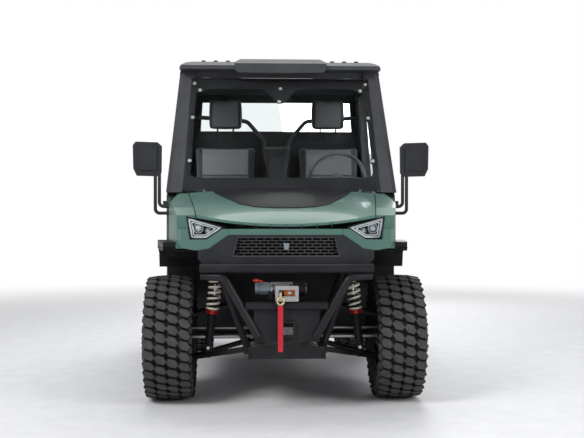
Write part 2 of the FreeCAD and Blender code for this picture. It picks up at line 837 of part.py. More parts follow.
def make_towers(rail_rooms, front, rear):
    """Uprights with an upper rail and an arm pivot at each corner, and the tubes across between them."""
    rail = mm("rail_radius")
    weld = mm("weld_gap")
    step = mm("cross_step")
    x = mm("rail_x")
    z = mm("rail_z")
    top_x = mm("shock_top_x")
    top_z = mm("upper_rail_z")
    pivot = upper_pivot()
    spans = (
        ([Vector(top_x, front, top_z), Vector(top_x, mm("cab_front_y") - 30, top_z)], AXLES[0]),
        ([Vector(top_x, mm("cab_rear_y") + 40, top_z), Vector(top_x, mm("bed_pivot_y"), top_z)], AXLES[1]),
    )
    towers = []
    upper_rooms = []
    for span, (axle, toward) in spans:
        near = mm(axle) + toward * 150
        far = mm(axle) - toward * 240
        tubes = [(span, rail)]
        for y in (near, far):
            tubes.append(([Vector(x, y, z), Vector(top_x, y, top_z)], rail))
        tubes.append(([Vector(pivot.x, near, pivot.z), Vector(pivot.x, far, pivot.z)], mm("arm_tube_radius")))
        shapes = [tube_solid(points, radius) for points, radius in tubes]
        if toward > 0:
            pin_start = Vector(top_x, mm("bed_pivot_y"), top_z)
            shapes.append(Part.makeCylinder(mm("bed_pin_radius"), rail + 24, pin_start, Vector(1, 0, 0)))
        towers.append(less(welded(shapes), rail_rooms))
        upper_rooms += paired_tubes([(span, rail)], weld)
    towers += [flipped(tower) for tower in towers]
    node("frame_towers", feature("frame_towers", Part.makeCompound(towers)))
    crossings = []
    for y in (front - step, mm("bed_pivot_y"), mm("cab_rear_y") + 60):
        crossing = tube_solid([Vector(-top_x, y, top_z), Vector(top_x, y, top_z)], rail - step)
        crossings.append(less(crossing, upper_rooms))
    node("cross_tubes", feature("cross_tubes", Part.makeCompound(crossings)))


def hitch_end_y(rear):
    return rear + mm("rail_radius") + mm("hitch_depth") - 20


def hitch_parts(rear):
    """The square socket at the tail."""
    outer = mm("hitch_bore") + 2 * mm("hitch_wall")
    start = hitch_end_y(rear) - mm("hitch_depth")
    z = mm("rail_z")
    socket = Part.makeBox(outer, mm("hitch_depth"), outer, Vector(-outer / 2, start, z - outer / 2))
    return [socket]


def hitch_cuts(rear):
    bore = mm("hitch_bore")
    start = hitch_end_y(rear) - mm("hitch_depth")
    z = mm("rail_z")
    hole = Part.makeBox(bore, mm("hitch_depth"), bore, Vector(-bore / 2, start + 45, z - bore / 2))
    pin = Part.makeCylinder(mm("hitch_pin") / 2, 120, Vector(-60, hitch_end_y(rear) - 45, z), Vector(1, 0, 0))
    return hole.fuse(pin)


# Floor, cab frame, roof and glass


def screen_y(z, back=0):
    """Y of the windscreen's plane at a height, moved back along Y."""
    return "(screen_base_y + ((%s) - screen_base_z) * screen_slope + %s)" % (z, back)


def side_x(z, inward=0):
    """X of the cab's upper side at a height, moved towards the middle."""
    return "(cab_half_width - ((%s) - belt_z) * side_slope - %s)" % (z, inward)


def make_floor():
    floor = box(
        "floor_plate",
        ("-sill_x + 6", "cab_front_y", "floor_z"),
        ("sill_x - 6", "cab_rear_y - 6", "floor_z + floor_thick"),
    )
    wall = box(
        "toe_wall",
        ("-post_inner_x + seat_gap", "cab_front_y", "floor_z"),
        ("post_inner_x - seat_gap", "cab_front_y + floor_thick", "belt_z - 60"),
    )
    tunnel = prism("tunnel", "Y", [
        ("-120", "floor_z + 2"),
        ("120", "floor_z + 2"),
        ("96", "floor_z + 130"),
        ("-96", "floor_z + 130"),
    ], "cab_front_y + 2", "cab_rear_y - 8")
    riser = box(
        "seat_riser",
        ("-sill_x + 26", "seat_front_y + 30", "floor_z + 2"),
        ("sill_x - 26", "cab_rear_y - 8", "seat_top_z - cushion_thick - seat_gap"),
    )
    rocker = box(
        "rocker_left",
        ("sill_x - 12", "cab_front_y + 16", "floor_z"),
        ("sill_x + rail_radius - 1", "door_rear_y + 6", "door_bottom_z - motion_gap"),
    )
    shaft_channel = box(
        "shaft_channel",
        ("-42", "cab_front_y - 10", "floor_z - 10"),
        ("42", "cab_rear_y + 10", "tyre_radius + 40"),
    )
    tub = joined("floor_tub", floor, wall, tunnel, riser, rocker, mirrored("rocker_right", rocker))
    node("floor_tub", cut("floor_tub", tub, shaft_channel))


def pillar_side(name, outline, inner, wide=14):
    """One side of the cab frame: a side outline kept between the tapering faces of the cab's side."""
    low = "floor_z"
    high = "roof_z"
    front_view = prism(name + "_front_view", "Y", [
        ("cab_half_width - door_thick - %s" % wide, low),
        ("cab_half_width - 2", low),
        ("cab_half_width - 2", "belt_z"),
        (side_x(high), high),
        (side_x(high, inner), high),
        ("cab_half_width - %s" % inner, "belt_z"),
    ], "screen_base_y - 60", "roof_rear_y")
    side_view = prism(name + "_side_view", "X", outline, "400", "cab_half_width")
    return common(name, side_view, front_view)


def pillar_chamfer():
    """A wedge along the windscreen pillar's outer front edge, which leaves a slanted face there."""
    wide = mm("pillar_chamfer")
    deep = wide + 10
    wires = []
    for height in ("belt_z - 40", "roof_z + 40"):
        x = mm(side_x(height))
        y = mm(screen_y(height, -1))
        z = mm(height)
        wires.append(Part.makePolygon([
            Vector(x + 4, y - 4, z), Vector(x - wide, y - 4, z), Vector(x + 4, y + deep, z), Vector(x + 4, y - 4, z)]))
    return feature("pillar_chamfer", Part.makeLoft(wires, True, True))


def rear_brace():
    """The cab's rear cross tube and the two curved tubes that rise from it to the rear pillars."""
    y = mm("cab_rear_y - 38")
    low = mm("seat_top_z") + 420
    end = mm("cab_half_width") - 56
    cross = tube_solid([Vector(-end, y, low), Vector(end, y, low)], 17)
    curve = tube_solid([
        Vector(88, y, low), Vector(88, y, 1560), Vector(210, y, 1700), Vector(mm("roof_half_width") - 40, y, 1730)],
        15, 60)
    return feature("rear_brace", welded([cross, curve, flipped(curve)]))


def make_cab_frame():
    pillar_foot = "screen_base_z + 1"
    a_pillar = pillar_side("a_pillar", [
        (screen_y(pillar_foot, -1), pillar_foot),
        (screen_y("roof_z", -1), "roof_z"),
        (screen_y("roof_z", "pillar_depth"), "roof_z"),
        (screen_y(pillar_foot, "pillar_depth"), pillar_foot),
    ], "100")
    a_pillar = cut("a_pillar", a_pillar, pillar_chamfer())
    post = box(
        "a_post",
        ("post_inner_x", "cab_front_y - 30", "floor_z + floor_thick + seat_gap"),
        ("cab_half_width - door_thick - motion_gap", "cab_front_y + 15", "screen_base_z + 42"))
    b_pillar = pillar_side("b_pillar", [
        ("door_rear_y + 12", "floor_z"),
        ("door_rear_y + 12", "roof_z"),
        ("cab_rear_y", "roof_z"),
        ("cab_rear_y", "floor_z"),
    ], "64")
    roof_rail = pillar_side("roof_rail", [
        (screen_y("door_top_z + 8", 20), "door_top_z + 8"),
        (screen_y("roof_z", 20), "roof_z"),
        ("cab_rear_y", "roof_z"),
        ("cab_rear_y", "door_top_z + 8"),
    ], "64")
    left = joined("cab_side", a_pillar, post, b_pillar, roof_rail)
    header = box(
        "screen_header",
        ("-roof_half_width + 48", screen_y("roof_z", 20), "roof_z - 38"),
        ("roof_half_width - 48", screen_y("roof_z", 62), "roof_z"),
    )
    rear_header = box(
        "rear_header",
        ("-roof_half_width + 48", "cab_rear_y - 50", "roof_z - 38"),
        ("roof_half_width - 48", "cab_rear_y", "roof_z"),
    )
    belt_bar = box(
        "belt_bar",
        ("-post_inner_x - 5", "cab_front_y - 26", "belt_z - 100"),
        ("post_inner_x + 5", "cab_front_y - seat_gap", "belt_z - 64"),
    )
    node("cab_frame", joined("cab_frame", left, mirrored("cab_side_right", left), header, rear_header, belt_bar,
                             rear_brace()))


def make_roof():
    side_view = prism("roof_side_view", "X", [
        ("roof_front_y", "roof_z + seat_gap"),
        ("roof_front_y", "roof_z + 24"),
        ("roof_front_y + 60", "roof_z + roof_thick"),
        ("roof_rear_y - 90", "roof_z + roof_thick - 4"),
        ("roof_rear_y", "roof_z + 22"),
        ("roof_rear_y", "roof_z + seat_gap"),
    ], "-roof_half_width", "roof_half_width")
    front_view = prism("roof_front_view", "Y", [
        ("-roof_half_width", "roof_z + seat_gap"),
        ("-roof_half_width", "roof_z + 8"),
        ("-roof_half_width + 10", "roof_z + 28"),
        ("-roof_half_width + 34", "roof_z + 46"),
        ("-roof_half_width + 72", "roof_z + roof_thick"),
        ("roof_half_width - 72", "roof_z + roof_thick"),
        ("roof_half_width - 34", "roof_z + 46"),
        ("roof_half_width - 10", "roof_z + 28"),
        ("roof_half_width", "roof_z + 8"),
        ("roof_half_width", "roof_z + seat_gap"),
    ], "roof_front_y", "roof_rear_y")
    shell = common("roof_shell", side_view, front_view)
    visor_side = prism("roof_visor_side", "X", [
        ("roof_front_y - 14", "roof_z - visor_drop"),
        ("roof_front_y - 20", "roof_z + 34"),
        ("roof_front_y + 40", "roof_top_z"),
        ("roof_rear_y - 260", "roof_top_z"),
        ("roof_rear_y - 180", "roof_z + 20"),
        ("roof_rear_y - 180", "roof_z + seat_gap"),
        ("roof_front_y + 34", "roof_z + seat_gap"),
        ("roof_front_y + 22", "roof_z - visor_drop"),
    ], "-visor_half_width - 40", "visor_half_width + 40")
    visor_front = prism("roof_visor_front", "Y", [
        ("-visor_half_width", "roof_z - visor_drop"),
        ("-visor_half_width - 24", "roof_z"),
        ("-visor_half_width - 24", "roof_z + 44"),
        ("-visor_half_width + 14", "roof_top_z"),
        ("visor_half_width - 14", "roof_top_z"),
        ("visor_half_width + 24", "roof_z + 44"),
        ("visor_half_width + 24", "roof_z"),
        ("visor_half_width", "roof_z - visor_drop"),
    ], "roof_front_y - 30", "roof_rear_y")
    visor = common("roof_visor", visor_side, visor_front)
    ribs = []
    for index in range(3):
        middle = "visor_half_width + 66 + %d * 76" % index
        ribs.append(prism("roof_rib_%d" % index, "Y", [
            (middle + " - 18", "roof_z + roof_thick - 8"),
            (middle + " - 11", "roof_z + roof_thick + roof_rib_height"),
            (middle + " + 11", "roof_z + roof_thick + roof_rib_height"),
            (middle + " + 18", "roof_z + roof_thick - 8"),
        ], "roof_front_y + 66", "roof_rear_y - 120"))
    ribs += [mirrored("roof_rib_right_%d" % index, rib) for index, rib in enumerate(ribs)]
    node("roof", joined("roof", shell, visor, *ribs))


def make_cab_glass():
    base = "screen_base_z"
    top = "screen_top_z - 30"
    slab = prism("screen_slab", "X", [
        (screen_y(base, -8), base),
        (screen_y(top, -8), top),
        (screen_y(top, -2), top),
        (screen_y(base, -2), base),
    ], "-screen_base_half", "screen_base_half")
    front_view = prism("screen_front_view", "Y", [
        ("-screen_base_half", base),
        ("screen_base_half", base),
        ("screen_top_half", top),
        ("-screen_top_half", top),
    ], "screen_base_y - 40", "screen_top_y + 40")
    screen = common("windscreen", slab, front_view)
    rear = prism("rear_glass", "Y", rear_window(-1), "cab_rear_y + 10", "cab_rear_y + 15")
    node("cab_glass", together("cab_glass", screen, rear))


def rear_window(grow):
    """The rear window's outline, grown outwards by a margin."""
    side = "(570 + %s)" % grow
    return [
        ("-" + side, "1606 - (%s)" % grow),
        (side, "1606 - (%s)" % grow),
        ("(%s - 14)" % side, "1864 + (%s)" % grow),
        ("-(%s - 14)" % side, "1864 + (%s)" % grow),
    ]


def make_rear_panel():
    panel = prism("rear_wall", "Y", [
        ("-sill_x + 6", "floor_z + floor_thick + seat_gap"),
        ("sill_x - 6", "floor_z + floor_thick + seat_gap"),
        ("cab_half_width - 20", "belt_z - 120"),
        ("roof_half_width - 16", "roof_z - seat_gap"),
        ("-roof_half_width + 16", "roof_z - seat_gap"),
        ("-cab_half_width + 20", "belt_z - 120"),
    ], "cab_rear_y + seat_gap", "cab_rear_y + 24")
    opening = prism("rear_opening", "Y", rear_window(-26), "cab_rear_y - 10", "cab_rear_y + 60")
    rebate = prism("rear_rebate", "Y", rear_window(0), "cab_rear_y + 9", "cab_rear_y + 60")
    shaft_notch = box(
        "shaft_notch",
        ("-42", "cab_rear_y - 10", "floor_z - 10"),
        ("42", "cab_rear_y + 60", "tyre_radius + 40"),
    )
    grooves = [
        box("rear_groove_%d" % index,
            ("-sill_x + 60", "cab_rear_y - 10", "%d + %d" % (1300, index * 46)),
            ("sill_x - 60", "cab_rear_y + 7", "%d + %d" % (1322, index * 46)))
        for index in range(6)
    ]
    node("rear_panel", cut("rear_panel", panel, opening, rebate, shaft_notch, *grooves))


# Doors: a panel as thick as the door with its window cut, and the glass in it


def door_outline(inset=0):
    front = "(door_front_top + %s)" % inset
    return [
        ("cab_front_y + 8", "door_bottom_z"),
        ("cab_front_y + 8", "700"),
        (front, "752"),
        (front, "belt_z"),
        (screen_y("door_top_z", "pillar_depth + 8"), "door_top_z"),
        ("door_rear_y", "door_top_z"),
        ("door_rear_y", "door_bottom_z"),
    ]


def window_outline(grow):
    lower = "(belt_z + 34 - (%s))" % grow
    upper = "(door_top_z - 48 + (%s))" % grow
    front_shift = "pillar_depth + 60"
    return [
        (screen_y(lower, front_shift) + " - (%s)" % grow, lower),
        (screen_y(upper, front_shift) + " - (%s)" % grow, upper),
        ("door_rear_y - 46 + (%s)" % grow, upper),
        ("door_rear_y - 46 + (%s)" % grow, lower),
    ]


def door_section(name, outer, thick):
    """A solid between the cab's outer side moved in by outer and the same face moved in by a thickness."""
    inner = "%s + %s" % (outer, thick)
    return prism(name, "Y", [
        ("cab_half_width - (%s)" % inner, "door_bottom_z - 20"),
        ("cab_half_width - (%s)" % outer, "door_bottom_z - 20"),
        ("cab_half_width - (%s)" % outer, "belt_z"),
        (side_x("door_top_z + 20", outer), "door_top_z + 20"),
        (side_x("door_top_z + 20", "(%s)" % inner), "door_top_z + 20"),
        ("cab_half_width - (%s)" % inner, "belt_z"),
    ], "cab_front_y - 120", "door_rear_y + 20")


def make_doors():
    side_view = prism("door_side_view", "X", door_outline(), "400", "cab_half_width + 5")
    body = common("door_body", side_view, door_section("door_section", "0", "door_thick"))
    opening = prism("door_window", "X", window_outline(0), "380", "cab_half_width + 30")
    slot = common(
        "door_glass_slot",
        prism("door_slot_view", "X", window_outline(12), "390", "cab_half_width + 20"),
        door_section("door_slot_section", "22", "6"),
    )
    pocket = prism("door_pocket", "X", [
        ("-440", "door_bottom_z + 60"),
        ("-440", "belt_z - 120"),
        ("door_rear_y - 80", "belt_z - 120"),
        ("door_rear_y - 80", "door_bottom_z + 60"),
    ], "cab_half_width - door_thick - 10", "cab_half_width - 16")
    hinge_y = "door_hinge_y"
    knuckles = []
    for index, z in enumerate(("800", "belt_z - 70")):
        barrel = rod(
            "door_hinge_%d" % index, "Z",
            ("cab_half_width + door_hinge_out", hinge_y, z), "9", "44")
        leaf = box(
            "door_hinge_leaf_%d" % index,
            ("cab_half_width - 3", hinge_y, z),
            ("cab_half_width + door_hinge_out", hinge_y + " + 60", z + " + 44"))
        knuckles += [barrel, leaf]
    handle = box(
        "door_handle",
        ("cab_half_width - 2", "door_rear_y - 190", "belt_z - 110"),
        ("cab_half_width + 16", "door_rear_y - 60", "belt_z - 78"))
    swell = prism("door_swell", "Y", [
        ("cab_half_width - 6", "door_bottom_z + 40"),
        ("cab_half_width + 9", "door_bottom_z + 120"),
        ("cab_half_width + 9", "belt_z - 190"),
        ("cab_half_width - 6", "belt_z - 130"),
    ], "cab_front_y + 70", "door_rear_y - 40")
    panel = joined("door", cut("door_panel", body, opening, slot, pocket), swell, handle, *knuckles)
    glass = common(
        "door_glass",
        prism("door_glass_view", "X", window_outline(11), "390", "cab_half_width + 20"),
        door_section("door_glass_section", "22.5", "5"),
    )
    node("door_left", panel)
    node("door_right", mirrored("door_right", panel))
    node("door_glass_left", glass)
    node("door_glass_right", mirrored("door_glass_right", glass))


# Seats, dash and driving controls

def make_seats():
    seats = {}
    for x, width, name in (("seat_centre_x", "seat_width - 30", "outer"), ("0", "220", "middle")):
        half = "(%s) / 2" % width
        cushion = prism("cushion_" + name, "X", [
            ("seat_front_y", "seat_top_z - cushion_thick + 20"),
            ("seat_front_y - 10", "seat_top_z - 40"),
            ("seat_front_y + 40", "seat_top_z"),
            ("seat_rear_y - 110", "seat_top_z - 26"),
            ("seat_rear_y - 70", "seat_top_z - cushion_thick"),
            ("seat_front_y + 30", "seat_top_z - cushion_thick"),
        ], "%s - %s" % (x, half), "%s + %s" % (x, half))
        back = prism("back_" + name, "X", [
            ("seat_rear_y - 62", "seat_top_z - cushion_thick"),
            ("seat_rear_y - 96", "seat_top_z"),
            ("seat_rear_y - 24", "seat_back_top_z - 24"),
            ("seat_rear_y + 20", "seat_back_top_z"),
            ("seat_rear_y + 66", "seat_back_top_z - 30"),
            ("seat_rear_y + 30", "seat_top_z - cushion_thick"),
        ], "%s - %s" % (x, half), "%s + %s" % (x, half))
        seats[name] = (cushion, back)
    outer_cushion, outer_back = seats["outer"]
    middle_cushion, middle_back = seats["middle"]
    node("seat_cushions", together("seat_cushions", outer_cushion, mirrored("cushion_right", outer_cushion),
                                   middle_cushion))
    node("seat_backs", together("seat_backs", outer_back, mirrored("back_right", outer_back), middle_back))
    headrest = prism("headrest", "X", [
        ("seat_rear_y + 8", "headrest_low_z"),
        ("seat_rear_y - 8", "headrest_low_z + 60"),
        ("seat_rear_y + 10", "headrest_top_z - 20"),
        ("seat_rear_y + 40", "headrest_top_z"),
        ("seat_rear_y + 92", "headrest_top_z - 20"),
        ("seat_rear_y + 88", "headrest_low_z + 10"),
    ], "seat_centre_x - headrest_width / 2", "seat_centre_x + headrest_width / 2")
    posts = [
        rod("headrest_post_%d" % index, "Z",
            ("seat_centre_x + %d" % shift, "seat_rear_y + 20", "seat_back_top_z + seat_gap"), "6",
            "headrest_low_z - seat_back_top_z + 28")
        for index, shift in enumerate((-55, 55))
    ]
    node("headrests", both_sides("headrests", joined("headrest", headrest, *posts)))


def make_dash():
    front = "cab_front_y + floor_thick + seat_gap"
    shell = prism("dash_shell", "X", [
        (screen_y("belt_z", 76), "belt_z - 14"),
        (screen_y("belt_z", 200), "belt_z - 4"),
        (screen_y("belt_z", 300), "belt_z - 50"),
        (screen_y("belt_z", 320), "belt_z - 190"),
        (screen_y("belt_z", 250), "belt_z - 330"),
        (front, "belt_z - 330"),
        (front, "belt_z - 58"),
        (screen_y("belt_z", 76), "belt_z - 58"),
    ], "-hood_rear_half", "hood_rear_half")
    node("dash", shell)


WHEEL_CENTRE = (370, -232, 1262)
COLUMN_SLOPE = 28


def column_direction():
    """From the steering wheel's centre down its column."""
    turn = math.radians(COLUMN_SLOPE)
    return Vector(0, -math.cos(turn), -math.sin(turn))


def make_steering_wheel():
    centre = Vector(*WHEEL_CENTRE)
    down = column_direction()
    ring = Part.makeTorus(178, 14, centre, down * -1)
    hub_shape = Part.makeCylinder(44, 46, centre + down * 6, down)
    flat = FreeCAD.Rotation(Vector(0, 0, 1), down * -1)
    spokes = []
    for angle in (0, 180, 270):
        spoke = Part.makeBox(140, 30, 12, Vector(35, -15, -24))
        spoke.rotate(Vector(), Vector(0, 0, 1), angle)
        spoke.Placement = FreeCAD.Placement(centre, flat).multiply(spoke.Placement)
        spokes.append(spoke)
    node("steering_wheel", feature("steering_wheel", welded([ring, hub_shape] + spokes)))


def make_controls():
    centre = Vector(*WHEEL_CENTRE)
    down = column_direction()
    doc.recompute()
    column = Part.makeCylinder(26, 250, centre + down * (52 + mm("seat_gap")), down).cut(NODES["dash"].Shape)
    shapes = [column]
    front = mm("cab_front_y")
    pedal_z = 500.0
    lever_height = mm("belt_z") - 330 - mm("seat_gap") - pedal_z
    for x, width in ((300, 70), (410, 46)):
        pad = Part.makeBox(width, 14, 90, Vector(x, front + 38, pedal_z))
        lever = Part.makeBox(14, 14, lever_height, Vector(x + width / 2 - 7, front + 46, pedal_z))
        shapes.append(welded([pad, lever]))
    lever_foot = Vector(0, -260, mm("floor_z") + 130 + mm("seat_gap"))
    shapes.append(welded([
        Part.makeCylinder(11, 240, lever_foot),
        Part.makeSphere(26, lever_foot + Vector(0, 0, 245)),
    ]))
    node("controls", feature("controls", Part.makeCompound(shapes)))


# Front body: fenders and nose, lamps, hood, flares, bumper cover and grille

def lamp_outline(grow):
    """A headlamp's outline seen from the front, grown outwards by a margin."""
    return [
        ("316 - (%s) * 2" % grow, "958 + (%s)" % grow),
        ("525 + (%s)" % grow, "1016 + (%s)" % grow),
        ("503 + (%s)" % grow, "893 - (%s)" % grow),
        ("417 - (%s)" % grow, "893 - (%s)" % grow),
    ]


def crown_section(half, y):
    """Section of a fender at a place along the vehicle, with its upper outer edge slanted."""
    inner = mm("hood_rear_half - 165")
    top = mm("belt_z")
    corners = [
        (inner, 700), (half, 700), (half, top - 42), (half - 42, top + 2), (mm("hood_rear_half"), top + 40),
        (inner, top + 40),
    ]
    return Part.makePolygon([Vector(x, y, z) for x, z in corners + corners[:1]])


def make_front_body():
    rear = "door_front_top - 14"
    side_view = prism("fender_side_view", "X", [
        ("nose_y + 56", "fender_bottom_z + 6"),
        ("nose_y + 62", "hood_rear_z - 132"),
        ("hood_front_y + 152", "hood_rear_z - 90"),
        ("hood_rear_y", "hood_rear_z - 2"),
        (rear, "hood_rear_z - 18"),
        (rear, "770"),
        ("door_front_top - 60", "fender_bottom_z"),
    ], "380", "fender_half_width")
    plan = prism("fender_plan", "Z", [
        ("hood_rear_half + panel_gap", rear),
        ("fender_half_width", rear),
        ("fender_half_width", "front_axle_y + 240"),
        ("fender_front_half", "hood_front_y + 150"),
        ("fender_front_half - 28", "hood_front_y + 20"),
        ("fender_front_half - 55", "nose_y"),
        ("hood_front_half + panel_gap - 80", "nose_y"),
        ("hood_front_half + panel_gap", "hood_front_y + 20"),
        ("hood_rear_half + panel_gap", "hood_rear_y"),
    ], "700", "1300")
    crown = feature("fender_crown", Part.makeLoft([
        crown_section(mm("fender_front_half - 27"), mm("nose_y - 10")),
        crown_section(mm("fender_front_half"), mm("hood_front_y + 150")),
        crown_section(mm("fender_half_width"), mm("front_axle_y + 240")),
        crown_section(mm("fender_half_width"), mm(rear)),
    ], True, True))
    fender = common("fender", side_view, plan, crown)
    nose = prism("nose", "X", [
        ("nose_y + 6", "cover_top_z + seat_gap"),
        ("nose_y + 14", "948"),
        ("nose_y + 74", "948"),
        ("nose_y + 74", "cover_top_z + seat_gap"),
    ], "-hood_front_half + 20", "hood_front_half - 20")
    brow = prism("lamp_sill", "X", [
        ("nose_y + 57", "872"),
        ("nose_y + 57", "925"),
        ("nose_y + 74", "925"),
        ("nose_y + 74", "872"),
    ], "-hood_front_half - 30", "hood_front_half + 30")
    cheek = prism("cheek", "Y", [
        ("300", "cover_top_z + seat_gap"),
        ("cheek_x", "cheek_z"),
        ("cover_half_width - 2", "fender_bottom_z"),
        ("hood_front_half + 70", "fender_bottom_z"),
        ("hood_front_half + 100", "cover_top_z - 20"),
        ("hood_front_half + 100", "948"),
        ("300", "948"),
    ], "nose_y + 6", "nose_y + 74")
    whole = joined("front_body", fender, mirrored("fender_right", fender), nose, brow, cheek,
                   mirrored("cheek_right", cheek))
    socket = prism("lamp_socket", "Y", lamp_outline("seat_gap"), "nose_y - 20", "nose_y + 152")
    hood_room = box(
        "hood_room",
        ("-hood_front_half - panel_gap", "hood_front_y - 20", "cover_top_z + 40"),
        ("hood_front_half + panel_gap", "hood_rear_y", "hood_rear_z + 100"),
    )
    side_trim = prism("front_side_trim", "Z", [
        ("fender_front_half - 55", "nose_y - 20"),
        ("fender_front_half - 55", "nose_y"),
        ("fender_front_half - 28", "hood_front_y + 20"),
        ("fender_front_half", "hood_front_y + 150"),
        ("fender_front_half + 100", "hood_front_y + 150"),
        ("fender_front_half + 100", "nose_y - 20"),
    ], "700", "1300")
    corner_trim = prism("front_corner_trim", "Y", [
        ("hood_front_half + 4", "fender_bottom_z - 40"),
        ("hood_front_half + 4", "fender_bottom_z - 1"),
        ("fender_front_half - 54", "fender_bottom_z + 12"),
        ("fender_front_half - 22", "fender_bottom_z + 28"),
        ("fender_front_half", "fender_bottom_z + 52"),
        ("fender_front_half + 100", "fender_bottom_z + 58"),
        ("fender_front_half + 100", "fender_bottom_z - 40"),
    ], "nose_y - 20", "front_axle_y - 290")
    trims = (side_trim, mirrored("front_side_trim_right", side_trim),
             corner_trim, mirrored("front_corner_trim_right", corner_trim))
    node("front_body", cut("front_body", whole, mirrored("lamp_socket_right", socket), socket, hood_room, *trims))


def make_headlamps():
    """Each lamp is a deep bowl behind its rim, with a projector and a light bar that follows the lower rim."""
    shell = prism("headlamp", "Y", lamp_outline("0"), "nose_y + 58", "nose_y + 150")
    bowl = prism("headlamp_bowl", "Y", lamp_outline("-14"), "nose_y + 40", "nose_y + 112")
    projector = rod("headlamp_projector", "Y", ("466", "nose_y + 74", "950"), "24", "60")
    bar = cut(
        "headlamp_bar",
        prism("headlamp_bar_outer", "Y", lamp_outline("-14"), "nose_y + 70", "nose_y + 113"),
        prism("headlamp_bar_inner", "Y", lamp_outline("-24"), "nose_y + 60", "nose_y + 120"),
    )
    node("headlamps", both_sides("headlamps", joined("lamp", cut("lamp_shell", shell, bowl), projector, bar)))


HOOD_STATIONS = (
    # share of the way to the front, edge height and centre height over the hood's rear edge
    (0.0, 0.0, 22.0),
    (0.42, -50.0, -34.0),
    (0.75, -92.0, -92.0),
    (0.93, -122.0, -146.0),
    (1.0, -132.0, -178.0),
)


def hood_section(station, lift, thick):
    """The hood's cross-section at a station, its top face lifted by a height."""
    along, edge, centre = station
    rear_y = mm("hood_rear_y")
    front_y = mm("hood_front_y")
    y = rear_y + along * (front_y - rear_y)
    half = mm("hood_rear_half") + along * (mm("hood_front_half") - mm("hood_rear_half"))
    base = mm("hood_rear_z")
    low_left = Vector(-half, y, base + edge + lift - thick)
    low_middle = Vector(0, y, base + centre + lift - thick + 0.01)
    low_right = Vector(half, y, base + edge + lift - thick)
    rise = Vector(0, 0, thick)
    return Part.Wire([
        Part.Arc(low_left, low_middle, low_right).toShape(),
        Part.LineSegment(low_right, low_right + rise).toShape(),
        Part.Arc(low_right + rise, low_middle + rise, low_left + rise).toShape(),
        Part.LineSegment(low_left + rise, low_left).toShape(),
    ])


def hinge_leaf(name, x, barrel_y, barrel_z, back_y, low_z):
    """A hinge barrel with a leaf that reaches its panel."""
    barrel = rod(name + "_barrel", "X", (x, barrel_y, barrel_z), "7", "14")
    leaf = box(
        name + "_leaf",
        (x, "min(%s; %s)" % (back_y, barrel_y), low_z),
        (x + " + 14", "max(%s; %s)" % (back_y, barrel_y), barrel_z + " + 2"),
    )
    return joined(name, barrel, leaf)


def hood_layer(name, lift, thick):
    sections = [hood_section(station, lift, thick) for station in HOOD_STATIONS]
    return feature(name, Part.makeLoft(sections, True, False))


def make_hood():
    lid = hood_layer("hood_lid", 0.0, mm("hood_thick"))
    leaf = hinge_leaf("hood_leaf", "452", "hood_hinge_y", "hood_hinge_z", "hood_rear_y - 24", "hood_hinge_z - 14")
    node("hood", joined("hood", lid, leaf, mirrored("hood_leaf_right", leaf)))
    make_hood_insert()


def insert_plan():
    """The insert's outline seen from above: wide at the windscreen, drawn in to the front."""
    right = [
        ("hood_rear_half - 137", "hood_rear_y"),
        ("hood_rear_half - 210", "hood_front_y + 392"),
        ("hood_rear_half - 295", "hood_front_y + 217"),
        ("hood_rear_half - 380", "hood_front_y + 162"),
        ("hood_rear_half - 495", "hood_front_y + 145"),
    ]
    return right + [("-(%s)" % x, y) for x, y in right[::-1]]


def make_hood_insert():
    """A dark moulding on the hood with a raised middle between two slanted faces."""
    thick = mm("insert_thick")
    gap = mm("seat_gap")
    skin = hood_layer("insert_skin", thick + gap, thick)
    outline = prism("insert_outline", "Z", insert_plan(), "hood_rear_z - 200", "hood_rear_z + 60")
    rear = mm("hood_rear_y")
    wires = []
    for y, height, wide, rise in ((rear - 24, 10.0, 208.0, 16.0), (rear - 392, -82.0, 112.0, 12.0)):
        base = mm("hood_rear_z") + height
        narrow = wide * 0.55
        wires.append(Part.makePolygon([
            Vector(-wide, y, base - 14), Vector(-narrow, y, base + rise), Vector(narrow, y, base + rise),
            Vector(wide, y, base - 14), Vector(-wide, y, base - 14)]))
    ridge = feature("insert_ridge", Part.makeLoft(wires, True, True))
    below = hood_layer("insert_underside", gap, mm("hood_thick") * 4)
    insert = cut("hood_insert", joined("hood_insert", common("insert_plate", skin, outline), ridge), below)
    node("hood_insert", insert)


def make_cowl():
    panel = box(
        "cowl_panel",
        ("-hood_rear_half", "hood_rear_y + 8", "belt_z - 40"),
        ("hood_rear_half", screen_y("screen_base_z", 50), "screen_base_z - seat_gap"),
    )
    leaf = hinge_leaf("cowl_leaf", "466 + seat_gap", "hood_hinge_y", "hood_hinge_z", "hood_hinge_y + 5",
                      "screen_base_z - 8")
    room = box(
        "hood_leaf_room",
        ("446", "hood_rear_y", "hood_hinge_z - 16"),
        ("466", "hood_hinge_y + 13", "hood_hinge_z + 16"))
    whole = joined("cowl", panel, leaf, mirrored("cowl_leaf_right", leaf))
    node("cowl", cut("cowl", whole, room, mirrored("hood_leaf_room_right", room)))


